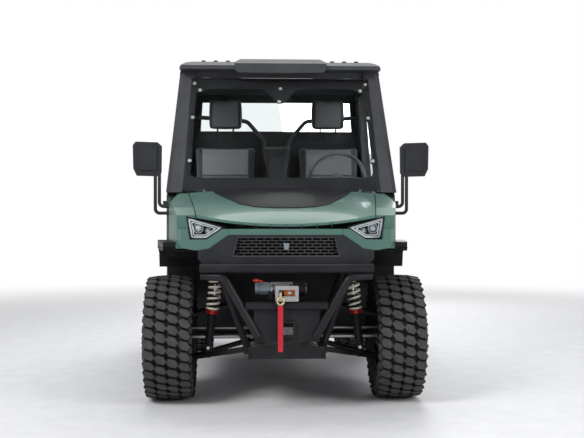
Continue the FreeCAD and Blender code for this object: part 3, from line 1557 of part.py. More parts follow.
def make_flares():
    band = prism("front_arch", "X", [
        ("front_axle_y - 290", "878"),
        ("front_axle_y + 300", "878"),
        ("front_axle_y + 360", "820"),
        ("front_axle_y + 372", "716"),
        ("front_axle_y + 354", "716"),
        ("front_axle_y + 330", "800"),
        ("front_axle_y + 270", "fender_bottom_z - 8"),
        ("front_axle_y - 262", "fender_bottom_z - 8"),
        ("front_axle_y - 290", "fender_bottom_z + 16"),
    ], "fender_front_half - 20", "flare_half_width")
    plan = prism("front_arch_plan", "Z", [
        ("300", "nose_y"),
        ("flare_front_half", "nose_y"),
        ("flare_half_width", "front_axle_y + 240"),
        ("flare_half_width", "front_axle_y + 400"),
        ("300", "front_axle_y + 400"),
    ], "600", "900")
    room = common("fender_room", prism("fender_room_plan", "Z", [
        ("300", "front_axle_y + 400"),
        ("fender_half_width + seat_gap", "front_axle_y + 400"),
        ("fender_half_width + seat_gap", "front_axle_y + 240"),
        ("fender_front_half + seat_gap", "hood_front_y + 150"),
        ("fender_front_half - 28", "hood_front_y + 20"),
        ("300", "hood_front_y + 20"),
    ], "600", "1000"), prism("fender_room_side", "X", [
        ("nose_y", "fender_bottom_z - seat_gap"),
        ("door_front_top - 60 - seat_gap", "fender_bottom_z - seat_gap"),
        ("door_front_top - 14", "770 - 2 * seat_gap"),
        ("front_axle_y + 400", "770 - 2 * seat_gap"),
        ("front_axle_y + 400", "950"),
        ("nose_y", "950"),
    ], "300", "900"))
    arch = cut("front_arch_trimmed", common("front_arch_in_plan", band, plan), room)
    liner = prism("front_liner", "Z", [
        ("sill_x - 200", "front_axle_y - 262"),
        ("flare_front_half", "front_axle_y - 262"),
        ("flare_half_width - 40", "front_axle_y + 270"),
        ("sill_x - 200", "front_axle_y + 270"),
    ], "fender_bottom_z - 8", "fender_bottom_z - 2")
    back = prism("front_liner_back", "X", [
        ("front_axle_y + 354", "640"),
        ("front_axle_y + 354", "716"),
        ("front_axle_y + 330", "772"),
        ("front_axle_y + 268", "fender_bottom_z - 8"),
        ("front_axle_y + 268", "fender_bottom_z - 2"),
        ("front_axle_y + 276", "fender_bottom_z - 2"),
        ("front_axle_y + 336", "776"),
        ("front_axle_y + 360", "720"),
        ("front_axle_y + 360", "640"),
    ], "sill_x - 200", "flare_half_width - 50")
    bracket = box(
        "front_liner_bracket",
        ("shock_top_x + rail_radius + seat_gap", "front_axle_y + 40", "upper_rail_z - 12"),
        ("sill_x - 190", "front_axle_y + 120", "fender_bottom_z - 2"))
    front = joined("front_flare", arch, liner, back, bracket)
    rear = prism("rear_arch", "X", [
        ("rear_axle_y - 392", "650"),
        ("rear_axle_y - 340", "730"),
        ("rear_axle_y - 230", "774"),
        ("rear_axle_y + 250", "774"),
        ("rear_axle_y + 250", "750"),
        ("rear_axle_y - 226", "750"),
        ("rear_axle_y - 322", "712"),
        ("rear_axle_y - 372", "650"),
    ], "shock_top_x + rail_radius + seat_gap", "flare_half_width")
    node("wheel_flares", together("wheel_flares", front, mirrored("front_flare_right", front),
                                  rear, mirrored("rear_flare_right", rear)))


def grille_outline(grow):
    return [
        ("-284 - (%s)" % grow, "802 - (%s)" % grow),
        ("284 + (%s)" % grow, "802 - (%s)" % grow),
        ("257 + (%s)" % grow, "908 + (%s)" % grow),
        ("-257 - (%s)" % grow, "908 + (%s)" % grow),
    ]


GRILLE_ROWS = 6


def make_cover_and_grille():
    cover = prism("cover_front_view", "Y", [
        ("-cover_half_width + 24", "cover_bottom_z"),
        ("cover_half_width - 24", "cover_bottom_z"),
        ("cover_half_width", "cover_bottom_z + 26"),
        ("cover_half_width - 2", "fender_bottom_z - 2 * seat_gap"),
        ("cheek_x", "cheek_z - 2 * seat_gap"),
        ("300", "cover_top_z - seat_gap"),
        ("-300", "cover_top_z - seat_gap"),
        ("-cheek_x", "cheek_z - 2 * seat_gap"),
        ("-cover_half_width + 2", "fender_bottom_z - 2 * seat_gap"),
        ("-cover_half_width", "cover_bottom_z + 26"),
    ], "nose_y", "nose_y + 50")
    opening = prism("grille_opening", "Y", grille_outline("seat_gap"), "nose_y - 10", "nose_y + 80")
    node("bumper_cover", cut("bumper_cover", cover, opening))
    plate = prism("grille_plate", "Y", grille_outline("0"), "nose_y + 8", "nose_y + 26")
    slots = []
    for row in range(GRILLE_ROWS):
        shift = row % 2 / 2
        low = "811 + %d * slot_rise" % row
        for column in range(-5, 6 - row % 2):
            middle = "%g * slot_pitch" % (column + shift)
            slots.append(box(
                "grille_slot_%d_%d" % (row, column + 5),
                (middle + " - slot_width / 2", "nose_y", low),
                (middle + " + slot_width / 2", "nose_y + 40", low + " + slot_height")))
    node("grille", cut("grille", plate, joined("grille_slots", *slots)))


# Front bumper, winch, hook and pull strap

def make_bumper():
    radius = mm("bumper_radius")
    y = mm("bumper_front_y")
    top = mm("bumper_top_z")
    half = mm("bumper_half_width")
    cross = mm("bumper_cross_z")
    back = mm("front_axle_y - rail_overhang - rail_radius - seat_gap")
    bar = tube_solid([
        Vector(-half, y + 14, top), Vector(-half * 0.6, y, top),
        Vector(half * 0.6, y, top), Vector(half, y + 14, top)], radius, 300)
    leg = tube_solid([
        Vector(half - 6, y + 34, top - 40), Vector(323, y + 6, top - 47), Vector(148, y + 16, 392)],
        radius - 3, 50)
    link = Part.makeBox(30, 12, 40, Vector(half - 66, y + 14, top - 40))
    crossbar = tube_solid([Vector(-212, y + 12, cross), Vector(212, y + 12, cross)], radius - 3)
    stays = []
    for x, z in ((190, mm("rail_z")), (330, mm("upper_rail_z"))):
        stays.append(Part.makeBox(10, back - y - 4, 40, Vector(x, y + 4, z - 20)))
    plate = Part.makeBox(340, 8, 165, Vector(-170, y + 20, 368))
    window = Part.makeBox(64, 50, 64, Vector(-32, y, 400))
    frame = Part.makeBox(84, 30, 84, Vector(-42, y + 6, 390)).cut(window)
    lower_tie = Part.makeBox(200, 10, 64, Vector(0, y + 20, mm("rail_z") - 20))
    tray = Part.makeBox(400, 150, 6, Vector(-200, y + 20, cross + 12))
    left = [leg, link] + stays + [lower_tie]
    shapes = [bar, crossbar, plate.cut(window), frame, tray] + left + [flipped(shape) for shape in left]
    node("front_bumper", feature("front_bumper", welded(shapes)))


def make_winch():
    y = mm("winch_y")
    z = mm("winch_z")
    cross = mm("bumper_cross_z") + 18 + mm("seat_gap")
    side = Vector(1, 0, 0)
    motor = Part.makeCylinder(mm("winch_motor_radius"), 86, Vector(-164, y, z), side)
    drum = Part.makeCylinder(24, 110, Vector(-78, y, z), side)
    gears = Part.makeCylinder(38, 70, Vector(32, y, z), side)
    feet = [Part.makeBox(18, 64, z - cross, Vector(x, y - 32, cross)) for x in (-92, 36)]
    front = mm("bumper_front_y") + 12
    fairlead = Part.makeBox(120, 14, 80, Vector(-60, front - 12, z - 60))
    mouth = Part.makeBox(92, 40, 34, Vector(-46, front - 30, z - 34))
    arms = [Part.makeBox(8, y - front, 12, Vector(x, front - 2, cross + 8)) for x in (-60, 52)]
    node("winch", feature("winch", welded([motor, drum, gears, fairlead.cut(mouth)] + feet + arms)))


HOOK_X = -34


def make_hook():
    z = mm("bumper_cross_z") + 26
    y = mm("bumper_front_y") - 20
    drum_y = mm("winch_y") - 24 - mm("seat_gap")
    ring = Part.makeTorus(17, 5, Vector(HOOK_X, y, z), Vector(0, 1, 0))
    shank = Part.makeCylinder(7, 30, Vector(HOOK_X, y, z + 15))
    eye = Vector(HOOK_X, y, z + 41)
    drum = Vector(HOOK_X, drum_y, mm("winch_z"))
    rope = Part.makeCylinder(3.5, (drum - eye).Length - 0.5, eye, drum - eye)
    node("winch_hook", feature("winch_hook", welded([ring, shank, rope])))
    width = mm("strap_width")
    thick = mm("strap_thick")
    length = mm("strap_length")
    top = z - 17 - 5 - mm("seat_gap")
    strap = Part.makeBox(width, thick, length, Vector(HOOK_X - width / 2, y - thick / 2, top - length))
    node("hook_strap", feature("hook_strap", strap))


def make_mirrors():
    shell = prism("mirror_shell", "Y", [
        ("mirror_x - 82", "mirror_z - 80"),
        ("mirror_x - 62", "mirror_z - 103"),
        ("mirror_x + 62", "mirror_z - 100"),
        ("mirror_x + 82", "mirror_z - 58"),
        ("mirror_x + 85", "mirror_z + 80"),
        ("mirror_x + 68", "mirror_z + 102"),
        ("mirror_x - 62", "mirror_z + 98"),
        ("mirror_x - 84", "mirror_z + 78"),
    ], "mirror_y - 7", "mirror_y + 39")
    face = prism("mirror_face", "Y", [
        ("mirror_x - 58", "mirror_z - 68"),
        ("mirror_x + 42", "mirror_z - 68"),
        ("mirror_x + 58", "mirror_z - 40"),
        ("mirror_x + 58", "mirror_z + 70"),
        ("mirror_x - 58", "mirror_z + 70"),
    ], "mirror_y - 14", "mirror_y")
    recess = prism("mirror_recess", "Y", [
        ("mirror_x - 70", "mirror_z - 82"),
        ("mirror_x + 60", "mirror_z - 82"),
        ("mirror_x + 72", "mirror_z - 54"),
        ("mirror_x + 72", "mirror_z + 86"),
        ("mirror_x - 70", "mirror_z + 86"),
    ], "mirror_y + 33", "mirror_y + 55")
    housing = joined("mirror_housing", cut("mirror_housing", shell, recess), face)
    arm = tube_solid([
        point("fender_half_width + seat_gap", "mirror_y", "belt_z - 60"),
        point("mirror_x - 72", "mirror_y", "belt_z - 60"),
        point("mirror_x - 72", "mirror_y", "mirror_z - 18")], 10, 26)
    upper = tube_solid([
        point("fender_half_width + seat_gap", "mirror_y", "belt_z - 100"),
        point("mirror_x - 48", "mirror_y", "belt_z - 100"),
        point("mirror_x - 48", "mirror_y", "mirror_z - 18")], 10, 26)
    arms = feature("mirror_arms", arm.fuse(upper))
    left = joined("mirror", housing, arms)
    node("mirrors", both_sides("mirrors", left))


# Power unit and load bed

def make_engine():
    under = "rail_z + rail_radius + seat_gap"
    block = box("engine_block", ("-190", "560", "tyre_radius + 27"), ("190", "860", "704"))
    feet = []
    for y in (575, 744):
        foot = box("engine_foot_%d" % y, ("150", "%d" % y, under), ("rail_x + 20", "%d" % (y + 34), "tyre_radius + 40"))
        feet += [foot, mirrored("engine_foot_right_%d" % y, foot)]
    muffler = rod("muffler", "X", ("-230", "1120", "610"), "82", "460")
    pipe = rod("muffler_pipe", "Y", ("120", "850", "610"), "24", "230")
    tail = rod("tail_pipe", "Y", ("180", "1180", "610"), "24", "170")
    node("engine", joined("engine", block, muffler, pipe, tail, *feet))


def make_bed():
    outer = box(
        "bed_outer",
        ("-bed_half_width", "bed_front_y", "bed_floor_z - bed_floor_thick"),
        ("bed_half_width", "bed_rear_y", "bed_top_z"))
    inner = box(
        "bed_inner",
        ("-bed_half_width + bed_wall", "bed_front_y + bed_wall", "bed_floor_z"),
        ("bed_half_width - bed_wall", "bed_rear_y + 10", "bed_top_z + 10"))
    tray = cut("bed_tray", outer, inner)
    ears = []
    for side in (-1, 1):
        start = "shock_top_x + rail_radius + 5" if side > 0 else "-shock_top_x - rail_radius - 17"
        ear = box(
            "bed_ear_%s" % ("left" if side > 0 else "right"),
            (start, "bed_pivot_y - 26", "upper_rail_z - 26"),
            (start + " + 12", "bed_pivot_y + 26", "bed_floor_z - bed_floor_thick + 2"))
        ears.append(ear)
    pads = [
        box("bed_pad_left", ("shock_top_x - 14", "bed_front_y + 60", "upper_rail_z + rail_radius + seat_gap"),
            ("shock_top_x + 14", "bed_front_y + 110", "bed_under_z + 2")),
    ]
    pads.append(mirrored("bed_pad_right", pads[0]))
    gate_bore = rod("tailgate_pin_bore", "X", ("-bed_half_width + bed_wall - 16", "tailgate_pivot_y", "tailgate_pivot_z"),
                    "6 + seat_gap", "2 * bed_half_width - 2 * bed_wall + 32")
    bore = rod("bed_pin_bore", "X", ("-500", "bed_pivot_y", "upper_rail_z"), "bed_pin_radius + seat_gap", "1000")
    holes = []
    for x in ("-tie_down_spacing / 2", "tie_down_spacing / 2"):
        for y in ("bed_front_y + 140", "bed_front_y + 140 + tie_down_spacing"):
            holes.append(rod("tie_down_hole_%d" % len(holes), "Z", (x, y, "bed_floor_z - 60"),
                             "tie_down_bore / 2", "120"))
    grooves = []
    for index, middle in enumerate((70, 180, 400, 510)):
        groove = box(
            "bed_groove_%d" % index,
            ("%d - 16" % middle, "bed_front_y + bed_wall + 30", "bed_floor_z - 4"),
            ("%d + 16" % middle, "bed_rear_y - 60", "bed_floor_z + 10"))
        grooves += [groove, mirrored("bed_groove_right_%d" % index, groove)]
    for index in range(3):
        start = "bed_front_y + 50 + %d * 246" % index
        recess = prism("bed_side_recess_%d" % index, "X", [
            (start, "bed_floor_z + 36"),
            (start + " + 24", "bed_floor_z + 12"),
            (start + " + 186", "bed_floor_z + 12"),
            (start + " + 210", "bed_floor_z + 36"),
            (start + " + 210", "bed_top_z - 62"),
            (start, "bed_top_z - 62"),
        ], "bed_half_width - 9", "bed_half_width + 20")
        grooves += [recess, mirrored("bed_side_recess_right_%d" % index, recess)]
    body = cut("bed", joined("bed", tray, *ears, *pads), bore, gate_bore, *holes, *grooves)
    node("cargo_bed", body)


def make_tailgate():
    side = "bed_half_width - bed_wall - motion_gap"
    gate = box(
        "tailgate_panel",
        ("-" + side.replace(" - ", " + "), "tailgate_pivot_y + 12 - tailgate_thick", "tailgate_pivot_z - 10"),
        (side, "tailgate_pivot_y + 12", "bed_top_z - 6"))
    pin = rod("tailgate_pin", "X", ("-bed_half_width + bed_wall - 14", "tailgate_pivot_y", "tailgate_pivot_z"), "6",
              "2 * bed_half_width - 2 * bed_wall + 28")
    panels = []
    for index, (low, high) in enumerate((("-bed_half_width + 110", "-150"), ("-120", "120"), ("150", "bed_half_width - 110"))):
        panels.append(box(
            "tailgate_recess_%d" % index,
            (low, "tailgate_pivot_y + 4", "tailgate_pivot_z + 50"),
            (high, "tailgate_pivot_y + 30", "bed_top_z - 50")))
    grip = box(
        "tailgate_grip",
        ("-80", "tailgate_pivot_y", "bed_top_z - 130"),
        ("80", "tailgate_pivot_y + 12", "bed_top_z - 96"))
    node("tailgate", joined("tailgate", cut("tailgate_panel", gate, *panels), grip, pin))


def make_tail_lamps():
    lamp = box(
        "tail_lamp",
        ("bed_half_width - bed_wall + 4", "bed_rear_y + seat_gap", "920"),
        ("bed_half_width - 3", "bed_rear_y + 26", "1070"))
    node("tail_lamps", both_sides("tail_lamps", lamp))


def check_and_write():
    doc.recompute()
    for item in doc.Objects:
        if any(state in ("Invalid", "Error") for state in item.State):
            raise RuntimeError("failed object: %s %s" % (item.Name, item.State))
    os.makedirs("parts", exist_ok=True)
    for name, item in NODES.items():
        shape = item.Shape
        if shape.isNull() or not shape.isValid() or shape.Volume <= 0:
            raise RuntimeError("bad shape: " + name)
        shape.exportStep("parts/%s.step" % name)
        print("%-20s %d solids" % (name, len(shape.Solids)))


def main():
    make_wheels()
    make_knuckles()
    make_tie_rods()
    make_arms()
    make_shocks()
    make_driveline()
    make_frame()
    make_floor()
    make_cab_frame()
    make_roof()
    make_cab_glass()
    make_rear_panel()
    make_doors()
    make_seats()
    make_dash()
    make_steering_wheel()
    make_controls()
    make_front_body()
    make_headlamps()
    make_hood()
    make_cowl()
    make_flares()
    make_cover_and_grille()
    make_bumper()
    make_winch()
    make_hook()
    make_mirrors()
    make_engine()
    make_bed()
    make_tailgate()
    make_tail_lamps()
    check_and_write()


main()
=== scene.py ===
# %% [markdown]
# A side by side utility vehicle is a small open truck for two or three people: a welded tube frame, four mud tyres
# on long arms, a moulded body and a closed cab. Its exact parts come first, as a fixed frame that is never moved.
# Looks could be modelled apart and fitted afterwards, but here every finish, soft form and fine detail is made
# around that frame, in metres and in the same place, so that nothing needs fitting.

# %% Load the frame
import bmesh
import bpy
import math
from mathutils import Matrix, Vector
from mathutils.bvhtree import BVHTree


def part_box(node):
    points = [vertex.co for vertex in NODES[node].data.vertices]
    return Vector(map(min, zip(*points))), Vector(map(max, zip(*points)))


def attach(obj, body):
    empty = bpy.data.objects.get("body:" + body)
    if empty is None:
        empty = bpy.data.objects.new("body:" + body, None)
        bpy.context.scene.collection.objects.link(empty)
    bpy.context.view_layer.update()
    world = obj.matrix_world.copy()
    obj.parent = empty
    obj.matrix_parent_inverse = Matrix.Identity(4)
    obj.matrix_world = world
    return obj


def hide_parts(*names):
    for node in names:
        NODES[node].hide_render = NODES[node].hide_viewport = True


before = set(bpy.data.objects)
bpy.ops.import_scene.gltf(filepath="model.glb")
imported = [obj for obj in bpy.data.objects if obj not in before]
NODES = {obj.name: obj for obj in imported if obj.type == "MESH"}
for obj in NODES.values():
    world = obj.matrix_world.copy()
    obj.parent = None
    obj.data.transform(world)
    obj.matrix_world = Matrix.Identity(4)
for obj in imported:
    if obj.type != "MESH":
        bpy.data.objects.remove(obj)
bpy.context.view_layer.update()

# %% [markdown]
# The picture was taken from the front, low and almost on the middle line, with a fairly long lens. A camera can be
# matched by eye or from known sizes. Here the tyres' size gives the distance and the lens, and the camera goes
# first, because everything else is judged through it.

# %% Camera
PHOTO_WIDTH = 584
FOCAL_PIXELS = 927.0
SENSOR_WIDTH = 36.0
CAMERA_PLACE = Vector((-0.19, -6.2, 1.0))
CAMERA_YAW = math.radians(2.6)
CAMERA_REACH = 100

camera_data = bpy.data.cameras.new("front_camera")
camera_data.sensor_width = SENSOR_WIDTH
camera_data.lens = FOCAL_PIXELS * SENSOR_WIDTH / PHOTO_WIDTH
camera_data.clip_end = CAMERA_REACH
camera = bpy.data.objects.new("front_camera", camera_data)
camera.location = CAMERA_PLACE
camera.rotation_euler = (math.radians(90), 0, -CAMERA_YAW)
bpy.context.scene.collection.objects.link(camera)
bpy.context.scene.camera = camera
bpy.context.scene.view_settings.view_transform = "Standard"
print("lens", round(camera_data.lens, 1), "mm")

# %% [markdown]
# A node tree is a drawing of boxes and links, and writing each by hand takes many lines. One helper adds a node,
# sets its options and fills or links its inputs in a single call, and it serves the finishes and the shapes alike.

# %% Node writing


def wire(tree, kind, links=None, output=0, **settings):
    """Adds a node, sets its options, links or sets its inputs by name or number, and returns one output."""
    item = tree.nodes.new(kind)
    for key, value in settings.items():
        setattr(item, key, value)
    for key, value in (links or {}).items():
        if isinstance(value, bpy.types.NodeSocket):
            tree.links.new(value, item.inputs[key])
        else:
            item.inputs[key].default_value = value
    return item.outputs[output]


def maths(tree, operation, one, other=None):
    """The result of a sum on one or two values or sockets."""
    inputs = {0: one} if other is None else {0: one, 1: other}
    return wire(tree, "ShaderNodeMath", inputs, operation=operation)


print("node helpers ready")

# %% [markdown]
# No real surface is one flat value: moulded plastic has grain, and paint changes colour a little from place to
# place. An image could show that, but it would need a layout on every piece. A noise on the piece's own Object
# coordinates needs none and has the right scale on all of them, so each finish takes its colour, roughness and
# bump from two such noises.

# %% Finish helpers
FINISHES = {}
COAT_ROUGHNESS = 0.06
GLOSSY_LEVEL = 0.5
DULL_LEVEL = 0.2
NOISE_LOW = 0.3
NOISE_HIGH = 0.7
SLOW_SCALE = 7.0
GRAIN_DEPTH = 0.001


def new_finish(name, colour, roughness, metallic=0.0, coat=0.0, sheen=0.0):
    """A material with its shader's plain values set."""
    material = bpy.data.materials.new(name)
    material.use_nodes = True
    material.diffuse_color = (*colour, 1)
    shader = material.node_tree.nodes["Principled BSDF"]
    for label, value in (("Base Color", (*colour, 1)), ("Roughness", roughness), ("Metallic", metallic),
                         ("Coat Weight", coat), ("Coat Roughness", COAT_ROUGHNESS), ("Sheen Weight", sheen),
                         ("Specular IOR Level", GLOSSY_LEVEL if coat or metallic else DULL_LEVEL)):
        shader.inputs[label].default_value = value
    return material, material.node_tree, shader


def own_place(tree):
    """The piece's own coordinates."""
    return wire(tree, "ShaderNodeTexCoord", output="Object")


def object_noise(tree, scale, detail=4.0):
    """Noise on the piece's own coordinates."""
    return wire(tree, "ShaderNodeTexNoise",
                {"Vector": own_place(tree), "Scale": scale, "Detail": detail, "Roughness": 0.55}, "Fac")


def spread(tree, value, low, high):
    """The middle of a noise, stretched between two values."""
    return wire(tree, "ShaderNodeMapRange", {"Value": value, "From Min": NOISE_LOW, "From Max": NOISE_HIGH,
                                             "To Min": low, "To Max": high}, "Result")


def blended(tree, share, first, second):
    """A colour between two, each given as numbers or as a socket."""
    colours = [one if isinstance(one, bpy.types.NodeSocket) else (*one, 1) for one in (first, second)]
    return wire(tree, "ShaderNodeMix", {"Factor": share, "A": colours[0], "B": colours[1]}, "Result",
                data_type="RGBA")


def add_bump(tree, shader, value, strength, distance=GRAIN_DEPTH):
    """Raises a surface by a value, in the light only."""
    normal = wire(tree, "ShaderNodeBump", {"Height": value, "Strength": strength, "Distance": distance}, "Normal")
    tree.links.new(normal, shader.inputs["Normal"])


def grained(name, dark, light, roughness, grain, strength, **more):
    """A finish with slow colour change, and fine grain in roughness and bump."""
    middle = tuple((a + b) / 2 for a, b in zip(dark, light))
    material, tree, shader = new_finish(name, middle, roughness, **more)
    slow = object_noise(tree, SLOW_SCALE)
    fine = object_noise(tree, grain, 2.0)
    tree.links.new(blended(tree, spread(tree, slow, 0, 1), dark, light), shader.inputs["Base Color"])
    tree.links.new(spread(tree, fine, roughness * 0.85, min(1, roughness * 1.15)), shader.inputs["Roughness"])
    add_bump(tree, shader, fine, strength)
    FINISHES[name] = material
    return material


print("noise steps are about", round(100 / SLOW_SCALE), "cm wide")

# %% [markdown]
# These are the plain finishes of the machine: moulded plastics, powder coat, cast and machined metal, rubber, vinyl
# and webbing. Each line gives the darkest and lightest colour, the roughness, how fine the grain is and how deep it
# looks, then metal, coat or sheen where the real surface has them. They stand together because most are shared.

# %% Plain finishes
grained("green_paint", (0.060, 0.142, 0.115), (0.072, 0.160, 0.130), 0.38, 900, 0.02, coat=0.25)
grained("dark_moulding", (0.020, 0.021, 0.024), (0.030, 0.031, 0.035), 0.5, 1400, 0.25)
grained("cab_moulding", (0.046, 0.048, 0.054), (0.060, 0.062, 0.069), 0.45, 1400, 0.2)
grained("black_plastic", (0.008, 0.008, 0.009), (0.014, 0.014, 0.016), 0.42, 1200, 0.25)
grained("powder_coat", (0.012, 0.012, 0.014), (0.020, 0.020, 0.023), 0.38, 1800, 0.15)
grained("cast_metal", (0.10, 0.10, 0.105), (0.17, 0.17, 0.175), 0.5, 700, 0.4, metallic=0.7)
grained("machined", (0.42, 0.42, 0.43), (0.55, 0.55, 0.56), 0.3, 1500, 0.1, metallic=0.95)
grained("cream_spring", (0.68, 0.63, 0.50), (0.78, 0.73, 0.60), 0.35, 1200, 0.05, coat=0.3)
grained("tyre_rubber", (0.012, 0.012, 0.013), (0.022, 0.022, 0.023), 0.75, 900, 0.35)
grained("soft_black", (0.020, 0.020, 0.021), (0.030, 0.030, 0.031), 0.65, 1200, 0.3)
grained("brass_zinc", (0.62, 0.52, 0.28), (0.74, 0.65, 0.40), 0.35, 900, 0.15, metallic=0.85)
grained("seat_vinyl", (0.055, 0.056, 0.060), (0.075, 0.076, 0.080), 0.6, 800, 0.3, sheen=0.2)
grained("red_lens", (0.42, 0.015, 0.015), (0.55, 0.03, 0.03), 0.15, 400, 0.05, coat=0.5)
grained("red_webbing", (0.42, 0.02, 0.03), (0.58, 0.04, 0.05), 0.7, 900, 0.4, sheen=0.3)
grained("lamp_body", (0.70, 0.72, 0.75), (0.82, 0.84, 0.86), 0.2, 600, 0.02, coat=0.5)
print(len(FINISHES), "plain finishes")

# %% [markdown]
# The panes are thin, so they show what is behind them almost without bending it. A true glass would bend the light
# at both faces and darken the cab. A fully transmitting shader with an index near one keeps the view straight, and
# a faint noise in its roughness stands for smudges.

# %% Glass
PANE_INDEX = 1.05
SMUDGE_SCALE = 3.0
SMUDGE_ROUGHNESS = 0.02


def clear_glass():
    """Thin clear panes with a trace of smudge."""
    material, tree, shader = new_finish("clear_glass", (0.93, 0.96, 0.96), 0.0)
    shader.inputs["Transmission Weight"].default_value = 1.0
    shader.inputs["IOR"].default_value = PANE_INDEX
    smudge = spread(tree, object_noise(tree, SMUDGE_SCALE), 0.0, SMUDGE_ROUGHNESS)
    tree.links.new(smudge, shader.inputs["Roughness"])
    return material


FINISHES["clear_glass"] = clear_glass()
print("clear glass ready")

# %% [markdown]
# Each exact part gets its finish by name. A finish could be guessed from a part's colour or slot, but a plain list
# is easy to read and shows at once whether a part was forgotten.

# %% Finish of every exact part
NODE_FINISH = {
    "tyre_rubber": ["tyre_front_left", "tyre_front_right", "tyre_rear_left", "tyre_rear_right"],
    "powder_coat": ["rim_front_left", "rim_front_right", "rim_rear_left", "rim_rear_right", "chassis_frame",
                    "sill_frames", "frame_towers", "cross_tubes", "hitch_receiver", "front_bumper",
                    "suspension_arms"],
    "cast_metal": ["knuckle_left", "knuckle_right", "rear_hub_carriers", "engine", "winch"],
    "machined": ["tie_rods", "driveline"],
    "cream_spring": ["shocks"],
    "cab_moulding": ["cab_frame", "roof"],
    "dark_moulding": ["floor_tub", "rear_panel", "dash", "bumper_cover", "controls", "mirrors"],
    "clear_glass": ["cab_glass", "door_glass_left", "door_glass_right"],
    "green_paint": ["front_body", "hood", "cargo_bed", "tailgate", "door_left", "door_right"],
    "seat_vinyl": ["seat_cushions", "seat_backs", "headrests"],
    "soft_black": ["steering_wheel"],
    "black_plastic": ["wheel_flares", "grille", "hood_insert", "cowl"],
    "red_lens": ["tail_lamps"],
    "brass_zinc": ["winch_hook"],
    "red_webbing": ["hook_strap"],
    "lamp_body": ["headlamps"],
}
for finish_name, names in NODE_FINISH.items():
    for name in names:
        materials = NODES[name].data.materials
        materials.clear()
        materials.append(FINISHES[finish_name])
unfinished = sorted(set(NODES) - {name for names in NODE_FINISH.values() for name in names})
print("without a finish:", unfinished)

# %% [markdown]
# Round parts, such as rods, caps and rollers, are turned on a lathe in the real world, and bent tubes follow a
# path. Ready-made cylinders and curve objects could give both, but a section turned in mesh code has its grooves and
# chamfers in the same few numbers, and all parts of a unit can share one mesh.

# %% Round building moves
SMOOTH_CORNERS = 4


def frame_of(axis):
    """Two directions at right angles to an axis."""
    axis = Vector(axis).normalized()
    across = axis.orthogonal().normalized()
    return axis, across, axis.cross(across)


def ring_of(bm, middle, across, other, radius, sides):
    """A ring of points about a middle."""
    return [bm.verts.new(middle + (across * math.cos(turn) + other * math.sin(turn)) * radius)
            for turn in (2 * math.pi * index / sides for index in range(sides))]


def skirt(bm, low, high, slot=0, smooth=True):
    """A closed strip of faces from one ring to the next."""
    for index in range(len(low)):
        after = (index + 1) % len(low)
        face = bm.faces.new((low[index], low[after], high[after], high[index]))
        face.material_index = slot
        face.smooth = smooth


def turned(bm, origin, axis, section, slot=0, sides=28, smooth=True):
    """A closed body turned about an axis, from pairs of distance along the axis and radius."""
    axis, across, other = frame_of(axis)
    origin = Vector(origin)
    rings = [ring_of(bm, origin + axis * along, across, other, radius, sides) for along, radius in section]
    for low, high in zip(rings, rings[1:]):
        skirt(bm, low, high, slot, smooth)
    for end in (rings[0][::-1], rings[-1]):
        face = bm.faces.new(end)
        face.material_index = slot
        face.smooth = smooth and sides == SMOOTH_CORNERS


def tube(bm, points, radius, slot=0, sides=10, closed=False):
    """A round tube along a path, with an even section and closed ends."""
    points = [Vector(point) for point in points]
    count = len(points)
    ways = []
    for index in range(count):
        before = points[index - 1] if index or closed else points[0]
        after = points[(index + 1) % count] if index + 1 < count or closed else points[-1]
        ways.append((after - before).normalized())
    across = ways[0].orthogonal().normalized()
    rings = []
    for point, way in zip(points, ways):
        across = (across - way * across.dot(way)).normalized()
        rings.append(ring_of(bm, point, across, way.cross(across), radius, sides))
    for low, high in zip(rings, rings[1:]):
        skirt(bm, low, high, slot)
    if closed:
        skirt(bm, rings[-1], rings[0], slot)
    else:
        for ring in (rings[0][::-1], rings[-1]):
            bm.faces.new(ring).material_index = slot


print("up, and two ways across it:", [tuple(way) for way in frame_of((0, 0, 1))])

# %% [markdown]
# Flat parts are cut from sheet or moulded with a soft front edge. A cube with a Bevel modifier could stand for one,
# but most outlines here are not boxes. A plate is therefore drawn as an outline in two numbers, and a small function
# given with it turns those numbers and a depth into a place on the machine.

# %% Flat building moves
EDGE_STEPS = ((0.0, 1.0), (0.35, 0.3), (1.0, 0.0))


def plate(bm, outline, place, depth, slot=0, edge=0.0):
    """A plate from a flat outline, whose front edge is rounded; place turns (u, v, depth) into a point."""
    centre = sum((Vector(point) for point in outline), Vector((0, 0))) / len(outline)
    levels = [(edge * down, edge * inwards) for down, inwards in EDGE_STEPS] if edge else [(0.0, 0.0)]
    count = len(outline)
    rows = []
    for level, inwards in levels + [(depth, 0.0)]:
        ring = []
        for index in range(count):
            here = Vector(outline[index])
            before = (here - Vector(outline[index - 1])).normalized()
            after = (Vector(outline[(index + 1) % count]) - here).normalized()
            inward = after - before
            if inward.length < 1e-6:
                inward = centre - here
            inward.normalize()
            if inward.dot(centre - here) < 0:
                inward = -inward
            spot = here + inward * inwards
            ring.append(bm.verts.new(place(spot.x, spot.y, level)))
        rows.append(ring)
    made = [bm.faces.new(rows[0]), bm.faces.new(rows[-1][::-1])]
    for low, high in zip(rows, rows[1:]):
        for index in range(count):
            after = (index + 1) % count
            made.append(bm.faces.new((low[index], high[index], high[after], low[after])))
    for face in made:
        face.material_index = slot


def band(bm, outer, inner, place, depth, slot=0):
    """A flat ring between two outlines with as many points each."""
    rows = []
    for outline, level in ((outer, 0.0), (inner, 0.0), (inner, depth), (outer, depth)):
        rows.append([bm.verts.new(place(u, v, level)) for u, v in outline])
    for one, other in zip(rows, rows[1:] + rows[:1]):
        skirt(bm, one, other, slot, False)


def flat_plane(y, side=1):
    """Places a front-view outline at a depth; its thickness runs backwards."""
    return lambda u, v, depth: Vector((side * u, y + depth, v))


print("a soft edge has", len(EDGE_STEPS), "steps")

